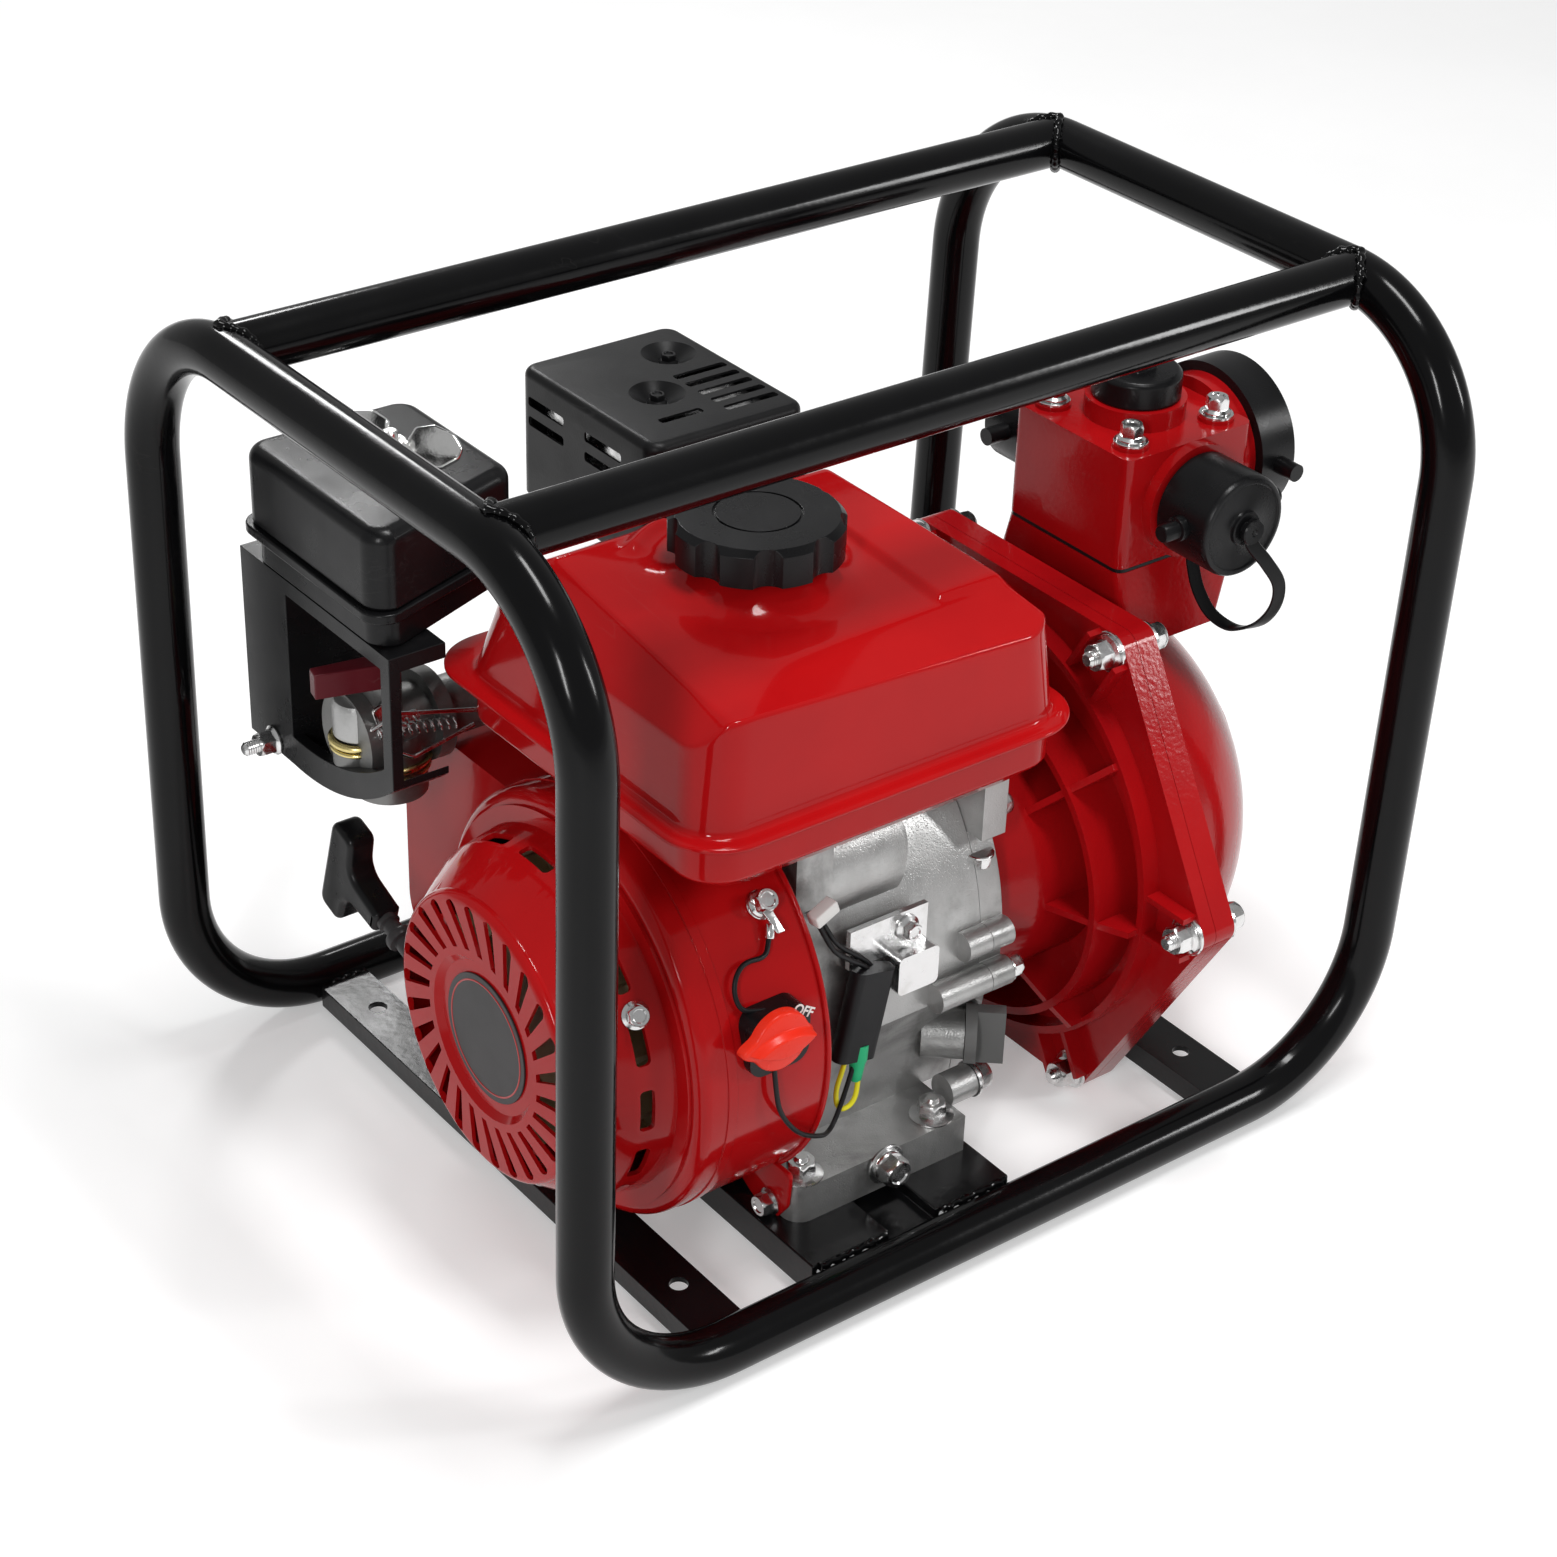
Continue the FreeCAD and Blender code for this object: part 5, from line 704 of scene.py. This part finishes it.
def bolt(place, axis, across, tall, flange=0.0, stud=0.0, rise=0.0, plain=0.0):
    # a hexagon head with a turned-down rim and a dish, on a flange, with a threaded end that
    # stands rise mm out of it; a plain washer below
    parts, base = [], 0.0
    if plain:
        base, rim, out = 1.6, 0.3, plain / 2
        ring = [(out - rim, 0), (out, rim), (out, base - rim), (out - rim, base)]
        parts.append(lathe(ring, place, axis, 36))
    if flange:
        out = flange / 2
        disc = [(out - 0.4, base), (out, base + 0.4), (out, base + 1.2),
                (across * 0.56, base + 2.4)]
        parts.append(lathe(disc, place, axis, 36))
        base += 2.0
    corner, top = across * 0.5774, base + tall
    dish = [(0.36 * across, top), (0.31 * across, top - 0.7)] if not stud else []
    head = [(corner, base), (corner, top - 0.16 * across), (0.53 * across, top - 0.05 * across),
            (0.49 * across, top)] + dish
    parts.append(lathe(head, place, axis, 48, hexagon(across)))
    if stud:
        pitch, depth = 0.6, 0.35
        turns = int(rise / pitch)
        thread = [(stud / 2 - depth * (i % 2), top + rise * i / turns) for i in range(turns)]
        end = (stud / 2 - 1.2, top + rise + pitch)
        parts.append(lathe([(stud / 2, base), *thread, end], place, axis, 30))
    return merged(parts)


footNut = dict(across=13, tall=7, flange=22, stud=8, rise=1.4)
caseBolt = dict(across=10, tall=6, flange=14)
coverBolt = dict(across=9, tall=5.5, flange=13)
blockBolt = dict(across=10, tall=6.5, plain=17, flange=14)
fasteners = {   # piece: rows of (node it sits on, place, axis, sizes)
    "baseBolts": [
        ("crankcase", (x, y, 43), (0, 0, 1), footNut) for y in (-129, 34) for x in (-8, -88)],
    "drainPlugs": [
        ("crankcase", (-45, -139, 37), (0, -1, 0), dict(across=14, tall=8, plain=21, flange=17)),
        ("crankcase_side_cover", (22, -121, 47), (1, 0, 0),
         dict(across=13, tall=7, plain=19, flange=16))],
    "caseBolts": [
        ("crankcase_side_cover", (36, -126.5, 111), (1, 0, 0), caseBolt),
        ("oil_sensor", (-27.6, -124, 159), (0, -1, 0), dict(across=8, tall=5, flange=13)),
        ("crankcase", (-85.6, -112, 186), (0, 0, -1),
         dict(across=8, tall=5, flange=11, stud=6, rise=5)),
        ("crankcase_side_cover", (27, -112, 186), (0, 0, -1), caseBolt),
        ("crankcase_side_cover", (38, -109, 194), (1, 0, 0), caseBolt)],
    "housingBolts": [
        ("fan_housing", (-114.5, -126, 205), (0, -0.695, 0.72),
         dict(across=10, tall=6, plain=14, flange=13)),
        ("recoil_cover", (-183, -127, 173), (-0.25, -0.83, 0.5), coverBolt),
        ("recoil_cover", (-183, -52, 40), (-0.25, 0, -1), coverBolt)],
    "guardBolts": [
        ("muffler_guard", (x, y, 342), (0, 0, 1), dict(across=7, tall=3.5, flange=10))
        for x, y in ((18, 133.5), (-14, 98))],
    "elbowBolt": [
        ("air_elbow", (-213, 133.9, 195.3), (-1, 0, 0),
         dict(across=11, tall=8, flange=15, stud=7, rise=7))],
    "blockBolts": [
        ("discharge_block", (172 + x, -41 + y, 338), (0, 0, 1), blockBolt)
        for x in (-28, 28) for y in (-28, 28)],
}
ears = {"count": 6, "y": -41, "z": 136.5, "radius": 141, "frontX": 100, "backX": 124,
        "front": dict(across=13, tall=8, plain=21, flange=18, stud=8, rise=3.5),
        "back": dict(across=13, tall=7, plain=20, flange=17)}


def addFasteners(table, e):
    # the single rows, then a nut and a bolt head on each ear of the pump's flanges
    for name, rows in table.items():
        parts = [bolt(seatOn(node, at, axis), axis, **sizes) for node, at, axis, sizes in rows]
        look = ("guardBlack", "black_steel") if name == "guardBolts" else ("zinc", "zinc_steel")
        addPiece(name, *merged(parts), *look, sharp=30)
    parts = []
    for k in range(e["count"]):
        turn = 2 * math.pi * (k + 0.5) / e["count"]
        y, z = e["y"] + e["radius"] * math.sin(turn), e["z"] + e["radius"] * math.cos(turn)
        for node, end, way in (("pump_adapter", "front", -1), ("pump_casing", "back", 1)):
            seat = seatOn(node, (e[end + "X"], y, z), (way, 0, 0))
            parts.append(bolt(seat, (way, 0, 0), **e[end]))
    addPiece("pumpBolts", *merged(parts), "zinc", "zinc_steel", sharp=30)


addFasteners(fasteners, ears)
print("stage: fasteners")


housing = {
    "y": -51.7, "z": 128, "radius": 105.6, "right": -97.2, "lip": 1.3, "lipTurn": (92, 300, 120),
    # corners, radii, thickness and edge of the lug
    "lug": ([(-136, 52), (-134, 31), (-124, 17), (-111, 20), (-92, 30), (-104, 50)],
            [3, 8, 8, 8, 5, 3], 2.4, 0.8), "lugGap": 0.2, "lugBolt": (-122, 28),
    "ringX": -213.15, "ring": 28.6, "ringThick": 0.5,
}


def addHousingTrim(h):
    # a rolled lip on the housing's open edge, the foot lug, and the thin ring on the badge
    turn = np.radians(np.linspace(*h["lipTurn"]))
    lip = np.stack([h["right"] + 0 * turn, h["y"] + h["radius"] * np.cos(turn),
                    h["z"] + h["radius"] * np.sin(turn)], 1)
    middle = h["lug"][2] / 2
    lug = slab(*h["lug"], (h["right"] - middle - h["lugGap"], 0, 0), (0, 1, 0), (0, 0, 1))
    addPiece("housingTrim", *merged([tubeAlong(lip, h["lip"], (1, 0, 0), 14), lug]), "redSheet",
             "red_paint")
    seat = (h["right"] - 2 * middle - h["lugGap"], *h["lugBolt"])
    lugBolt = bolt(seat, (-1, 0, 0), **caseBolt)
    addPiece("lugBolt", *lugBolt, "zinc", "zinc_steel", sharp=30)
    ring = ringPath((h["ringX"], h["y"], h["z"]), h["ring"], 120, "x")
    addPiece("badgeRing", *tubeAlong(ring, h["ringThick"], (1, 0, 0), 10, True), "badgeRed",
             "red_paint")


addHousingTrim(housing)


handle = {
    "root": (-198, 48, 122), "tilt": 17,
    # corners, radii, thickness and edge
    "grip": ([(12, -6), (39, -8), (41, -28.5), (59.5, -28.5), (59.5, 28.5), (41, 28.5), (39, 8),
              (12, 6)], [2, 9, 5, 6, 6, 5, 9, 2], 15, 3.2),
    "guide": [(4.5, -24), (4.5, -3), (6.8, -2.5), (7.2, -1.5), (7.2, 1), (6.6, 2), (4.6, 2.6),
              (4.3, 9), (5.6, 9.6), (5.6, 12.4)],
}


def addHandle(h):
    tilt = math.radians(h["tilt"])
    along, up = (0, math.cos(tilt), math.sin(tilt)), (0, -math.sin(tilt), math.cos(tilt))
    grip = slab(*h["grip"], h["root"], along, up, 6)
    addPiece("pullHandle", *grip, "blackPlastic", "black_plastic", replaces=["starter_handle"])
    guide = lathe(h["guide"], h["root"], along, 40)
    addPiece("ropeGuide", *guide, "badgeGrey", "black_plastic")


addHandle(handle)


knob = {"place": (-130.5, -160.3, 159.5), "radius": 15, "tail": 6.5, "tailWide": 0.24,
        "tip": 2.5, "tipWide": 0.2, "side": 5.2, "dome": 1.6, "ridge": 4.2, "half": 6,
        "ridgeEdge": (-0.9, 1.6), "long": 17.5, "count": 120, "top": (0.93, 0.03, 34)}


def addKnob(k):
    # rim radius = radius + tail and tip bumps e^-((a - a0) / w)^2; height on the top = side +
    # dome (1 - s^2) + ridge where |z| < half (1 - (x / long)^2)
    angle = around(k["count"])
    fromTip = np.minimum(angle, 2 * np.pi - angle)
    rim = (k["radius"] + k["tail"] * np.exp(-((angle - np.pi) / k["tailWide"]) ** 2)
           + k["tip"] * np.exp(-(fromTip / k["tipWide"]) ** 2))
    side = k["side"]
    rows = [(1.0, 0.0), (1.0, 2.0), (1.0, side - 1.2), (0.985, side - 0.4), (0.955, side)]
    for share in np.linspace(*k["top"]):
        x, z = share * rim * np.cos(angle), share * rim * np.sin(angle)
        half = k["half"] * (1 - (x / k["long"]) ** 2)
        ridge = k["ridge"] * eased(half - np.abs(z), *k["ridgeEdge"])
        rows.append((share, side + k["dome"] * (1 - share ** 2) + ridge))
    x0, y0, z0 = k["place"]
    grid = np.stack([np.stack([x0 + s * rim * np.cos(angle), y0 - h + 0 * angle,
                               z0 + s * rim * np.sin(angle)], -1) for s, h in rows])
    addPiece("switchKnob", *stacked(grid), "knobRed", "red_plastic", bodyOf["switch_knob"],
             ["switch_knob"], 50)


addKnob(knob)


mark = {"words": "OFF", "size": 7, "place": (-121.5, -160.1, 168.5), "turn": -32,
        "deep": 0.12, "bold": 0.14}


def addMark(m):
    # raised lettering in an upright plane across y, turned by degrees
    curve = bpy.data.curves.new("markCurve", "FONT")
    curve.body, curve.size = m["words"], m["size"] * mm
    curve.extrude, curve.offset = m["deep"] * mm, m["bold"] * mm
    carrier = added("markCurve", curve)
    mesh = bpy.data.meshes.new_from_object(carrier)
    bpy.data.objects.remove(carrier)
    flat = np.array([v.co for v in mesh.vertices], float)
    turn = math.radians(m["turn"])
    c, s = math.cos(turn), math.sin(turn)
    x, z = flat[:, 0] * c - flat[:, 1] * s, flat[:, 0] * s + flat[:, 1] * c
    verts = np.stack([x, -flat[:, 2], z], 1) + np.array(m["place"]) * mm
    addPiece("switchMark", verts, [list(p.vertices) for p in mesh.polygons], "markWhite",
             "black_plastic")


addMark(mark)
print("stage: starter and switch")


wires = {   # name: (control points in mm, diameter, maybe finish and nodes it stands for)
    "upperLead": ([(-115.5, -134.5, 198.5), (-118.5, -137.5, 192.5), (-123, -141.5, 188),
                   (-136, -141.2, 190.5), (-144, -145.5, 183), (-143, -149.5, 172.5),
                   (-136.5, -151.5, 170.5), (-131.5, -153, 170)],
                  2.4, "rubber", ["switch_leads"]),
    "lowerLead": ([(-130.5, -160, 142), (-130.5, -161.9, 130), (-127.5, -161.5, 116),
                   (-113.5, -157, 96), (-98, -152.5, 84.5), (-82, -142, 73),
                   (-70, -136.5, 85), (-62, -132.5, 97)], 2.4),
    "yellowLead": ([(-64.5, -131.5, 112), (-68, -134, 103), (-74.5, -135, 89),
                    (-72, -135.5, 77), (-62.5, -135, 77.5), (-59.5, -134, 88),
                    (-59, -133, 97)], 2.6, "wireYellow"),
    "plugLead": ([(-85, -129.5, 186.5), (-81.5, -131, 178), (-75, -131, 166),
                  (-64, -130.5, 157), (-54.5, -129.5, 149.5), (-51.5, -129, 145)], 2.6),
    "plugLeadBack": ([(-82, -127.5, 186.5), (-78.5, -128.5, 179), (-72, -128.5, 168),
                      (-61.5, -128, 158.5), (-52, -127.5, 150.5), (-48.5, -127, 145)], 2.6),
}


def addWire(name, points, dia, finish="rubber", replaced=()):
    # a smooth curve on its control points, with a round section
    curve = bpy.data.curves.new(name, "CURVE")
    curve.dimensions = "3D"
    line = curve.splines.new("NURBS")
    line.points.add(len(points) - 1)
    for point, place in zip(line.points, points):
        point.co = (*[c * mm for c in place], 1.0)
    line.order_u = 3
    line.use_endpoint_u = True
    line.resolution_u = 10
    curve.bevel_depth, curve.bevel_resolution, curve.use_fill_caps = dia / 2 * mm, 4, True
    curve.materials.append(finishes[finish])
    claimed(added(name, curve), "root", replaced)


endings = {
    # lathes: profile, place, axis, points round
    "bullet": ([(4.6, -2), (4.6, 6), (3.9, 9), (3.4, 13), (3, 17), (2.4, 18)],
               (-58, -131.5, 106.5), (-0.12, -0.05, -1), 28),
    "crimp": ([(1.9, 0), (2.2, 0.6), (2.2, 6), (1.9, 6.6)], (-115.4, -134.2, 199.2),
              (-0.35, -0.45, -0.8), 20),
    # slabs: corners, radii, thickness, edge, place, directions of the corners' two numbers
    "plug": ([(-7, -3.4), (7, -3.4), (7, 3.4), (-7, 3.4)], [1.2] * 4, 7, 0.8,
             (-81.5, -129.5, 189.8), (0.94, 0.1, 0.33), (-0.33, 0, 0.94)),
    "blade": ([(-4.5, 5), (-2.4, -2), (-2, -13), (2, -13), (2.4, -2), (4.5, 5), (2.5, 8),
               (-2.5, 8)], [2, 2, 0.6, 0.6, 2, 2, 2, 2], 1.2, 0.3,
              (-115.2, -129.6, 205.2), (1, 0, 0), (-0.2, 0.72, 0.69)),
}


def addElectrics(e):
    # the leads, then the sleeve, connector and ring terminal that they end on
    for name, values in wires.items():
        addWire(name, *values)
    addPiece("bulletSleeve", *lathe(*e["bullet"]), "wireGreen", "black_rubber")
    addPiece("whiteConnector", *slab(*e["plug"]), "markWhite", "black_plastic")
    terminal = merged([slab(*e["blade"]), lathe(*e["crimp"])])
    addPiece("ringTerminal", *terminal, "zinc", "zinc_steel")


addElectrics(endings)
print("stage: wires")


cleaner = {
    "span": (0.464, -0.886, 0), "tilt": 38, "tall": 12, "flutes": 12, "fluteDeep": 0.05,
    "hub": [(13.5, 0), (14, 0.8), (13, 1.8), (9, 2.8), (8, 3.4), (8, 10.8), (6.8, 12), (4, 12),
            (3.6, 16), (2.8, 16.6)],
    # corners, radii, thickness and edge of a wing
    "wing": ([(5, 2), (15, 0.6), (26, 2.5), (33, 9), (33, 15), (27, 20), (16, 22), (7, 19),
              (5, 12)], [2, 4, 6, 4, 4, 6, 5, 3, 2], 3.2, 1.4),
}


def addWingNut(c):
    # a fluted hub, radius (1 + deep cos(12 a)), with two leaf-shaped wings on a domed washer
    low, high = np.array(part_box("wing_nut")) / mm
    place = np.array([*(low[:2] + high[:2]) / 2, low[2]])

    def flutes(angle, radius, height):
        fluted = (height > 3) * (height < c["tall"] - 1)
        return radius * (1 + c["fluteDeep"] * np.cos(c["flutes"] * angle) * fluted)

    along = np.array(c["span"]) / np.linalg.norm(c["span"])
    lean = math.radians(c["tilt"])
    up = (-along[1] * math.sin(lean), along[0] * math.sin(lean), math.cos(lean))
    parts = [lathe(c["hub"], place, (0, 0, 1), 72, flutes)]
    for side in (1, -1):
        parts.append(slab(*c["wing"], place, side * along, up, arc=6))
    addPiece("chromeWingNut", *merged(parts), "chrome", "zinc_steel", replaces=["wing_nut"])


addWingNut(cleaner)


throat = {
    "y": 75, "faceBehind": 7,
    "carbBody": [(11.6, 224), (12.6, 225), (12.6, 240), (11.4, 243), (8, 244)],
    "carbCup": [(4, 200.5), (5, 201), (5, 204), (9.5, 204.6), (12.2, 206.5), (13, 209.5),
                (13, 219.5), (12, 220.2)],
    "clamps": [(13.2, 222, 1.9), (13.4, 218.4, 1.2)],       # radius, height, half thickness
    "bowlX": -184, "bowlRadius": 18.6, "bowlRings": [(207, 1.7, 14), (202.5, 1.1, 12)],
    "nutZ": 189.4, "bowlNut": dict(across=9, tall=5, flange=13),
    "coil": {"x": (-205, 45), "y": 52, "z": (236, -8), "radius": 3, "wind": 70, "thick": 0.55},
    "rods": [([(-208, 49, 240), (-196, 47, 246), (-150, 50, 232)], [5]),
             ([(-200, 54, 226), (-186, 50, 218), (-150, 54, 222)], [5])], "rodThick": 1.1,
    "arm": ([(-4, -4), (18, -3), (18, 3), (4, 5), (3, 16), (-4, 16)], [3, 2.5, 2.5, 3, 2.5, 2.5],
            1.6, 0.4, (-196, 55.5, 232), (0.96, 0, 0.28), (-0.28, 0, 0.96)),
}


def addCarbTrim(c):
    # the throat's upright body with its brass clamp rings and cup, then brass rings round the
    # float bowl, bowl nut, a spring, the control rods and their arm; the spring is
    # y + r cos(wind t), z + r sin(wind t) along x
    upright, y = (0, 0, 1), c["y"]
    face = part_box("carburettor")[0][0] / mm + c["faceBehind"]
    for name, finish in (("carbBody", "castAluminium"), ("carbCup", "darkAluminium")):
        addPiece(name, *lathe(c[name], (face, y, 0), upright, 64), finish, "cast_aluminium")
    clamps = [tubeAlong(ringPath((face, y, z), radius, 64), thick, upright, 12, True)
              for radius, z, thick in c["clamps"]]
    addPiece("carbClamps", *merged(clamps), "brass", "zinc_steel")
    parts = [tubeAlong(ringPath((c["bowlX"], y, z), c["bowlRadius"], 72), thick, upright, count,
                       True) for z, thick, count in c["bowlRings"]]
    parts.append(bolt((c["bowlX"], y, c["nutZ"]), (0, 0, -1), **c["bowlNut"]))
    addPiece("bowlRing", *merged(parts), "brass", "zinc_steel")
    s, t = c["coil"], np.linspace(0, 1, 200)
    coil = np.stack([s["x"][0] + s["x"][1] * t, s["y"] + s["radius"] * np.cos(t * s["wind"]),
                     s["z"][0] + s["radius"] * np.sin(t * s["wind"]) + s["z"][1] * t], 1)
    parts = [tubeAlong(coil, s["thick"], (0, 0.1, 1), 8)]
    for points, radii in c["rods"]:
        parts.append(tubeAlong(rounded(points, radii), c["rodThick"], upright, 12))
    parts.append(slab(*c["arm"]))
    addPiece("carbLinkage", *merged(parts), "zinc", "zinc_steel")


addCarbTrim(throat)


frontCap = {
    "place": (172, -88), "radius": 26, "pinAt": 17,
    "profile": [(24.6, 0.3), (26, 1.4), (26, 30.5), (25.7, 32.2), (24.8, 33.5), (23.4, 34),
                (22.4, 33.9), (21.8, 33.3), (10.2, 33.3), (9, 33.7), (8.6, 34.4), (8.6, 35.6),
                (8, 36.2), (4.8, 36.3), (4.7, 37.3), (6.1, 37.7), (6.5, 38.3), (6.5, 40.4),
                (6, 41.1), (1.9, 41.2), (1.4, 40.5), (0.7, 40.4)],
    "pin": [(6.3, 20), (6.3, 28), (6, 28.9), (4.7, 29.3), (4.6, 29.8)],
    "strap": [(172, -124.6, -2), (174, -127, -8), (181, -131, -18), (188, -133.5, -30),
              (190, -131, -44), (186.5, -125, -55), (180, -115, -59.5), (174.5, -105, -55),
              (172, -97, -45), (171.5, -92, -34), (172, -89.5, -26)],
    "wide": 3.5, "thick": 0.9, "across": (0.96, -0.28, 0), "power": 4,
}


def addFrontCap(c):
    # a ribbed face with a hub, a pin at either side, and the flat strap in a loop below; the
    # strap's section is (|cos a| / thick)^4 + (|sin a| / wide)^4 = 1 / radius^4, its path the
    # curve through its points by Catmull and Rom's weights
    low, high = np.array(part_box("front_outlet_cap")) / mm
    x, y = c["place"]
    z, reach = high[2] - c["radius"], (high[0] - low[0]) / 2
    parts = [lathe(c["profile"], (x, y, z), (0, -1, 0), 96)]
    pin = c["pin"] + [(4.6, reach - 1), (3.9, reach)]
    for side in (-1, 1):
        parts.append(lathe(pin, (x, y - c["pinAt"], z), (side, 0, 0), 32))
    knots = np.array(c["strap"], float) + np.array((0, 0, z))
    ends = np.concatenate([[2 * knots[0] - knots[1]], knots, [2 * knots[-1] - knots[-2]]])
    u = np.linspace(0, 1, 10, endpoint=False)[:, None]
    runs = []
    for a, b, d, e in zip(ends, ends[1:], ends[2:], ends[3:]):
        bend = u * u * (2 * a - 5 * b + 4 * d - e) + u ** 3 * (3 * b - a - 3 * d + e)
        runs.append(b + 0.5 * (u * (d - a) + bend))
    path = np.concatenate(runs + [knots[-1:]])

    def flat(share, angle):
        total = ((np.abs(np.cos(angle)) / c["thick"]) ** c["power"]
                 + (np.abs(np.sin(angle)) / c["wide"]) ** c["power"])
        return total ** (-1 / c["power"]) * (1 + 0 * share)

    parts.append(tubeAlong(path, 1.0, c["across"], 28, False, flat))
    addPiece("frontCapBody", *merged(parts), "blackPlastic", "black_plastic",
             replaces=["front_outlet_cap"])


addFrontCap(frontCap)
print("stage: air cleaner, carburettor and front cap")


studio = {"floor": (0.82, 0.82, 0.82), "cloud": 0.97, "spread": 6, "world": 0.38, "glow": 0.3}


def addStudio(s):
    # a pale floor that glows for what sees or mirrors it, under an even sky
    mesh = bpy.data.meshes.new("floor")
    e = s["spread"]
    mesh.from_pydata([(-e, -e, 0), (e, -e, 0), (e, e, 0), (-e, e, 0)], [], [(0, 1, 2, 3)])
    added("floor", mesh)
    f = Finish("floorPale")
    tone = f.noise(3.0, 4.0).between(0.3, 0.7)
    camera = f.node("ShaderNodeLightPath", out="Is Camera Ray")
    seen = camera.most(camera.beside("Is Glossy Ray")).most(camera.beside("Is Transmission Ray"))
    f.fixed(Emission_Strength=s["glow"])
    f.feed(f.shader.inputs["Emission Color"], f.blend(seen, (0, 0, 0), (1, 1, 1)))
    f.varying(f.blend(tone, s["floor"], tuple(c * s["cloud"] for c in s["floor"])),
              f.noise(40.0).between(0.2, 0.8, 0.6, 0.7))
    mesh.materials.append(f.material)
    world = bpy.data.worlds.new("studio")
    scene.world = world
    world.use_nodes = True
    back = world.node_tree.nodes["Background"]
    back.inputs[0].default_value, back.inputs[1].default_value = (1, 1, 1, 1), s["world"]


lamps = {   # name: (place, width and height in metres, power in watts)
    "overhead": ((0.1, -0.3, 2.2), (0.9, 0.3), 24),
    "frontLeft": ((-1.8, -1.4, 1.3), (0.22, 0.7), 17),
    "frontRight": ((1.6, -1.6, 1.2), (0.2, 0.6), 13),
    "behind": ((0.6, 2, 1.6), (0.6, 0.25), 12),
}
lampAim = (0, 0, 0.2)


def addLamp(name, place, size, power):
    data = bpy.data.lights.new(name, "AREA")
    data.shape, data.energy = "RECTANGLE", power
    data.size, data.size_y = size
    stand(added(name, data), place, turnedTo(np.array(place) - np.array(lampAim)))


addStudio(studio)
for name, values in lamps.items():
    addLamp(name, *values)
print("stage: floor and light")
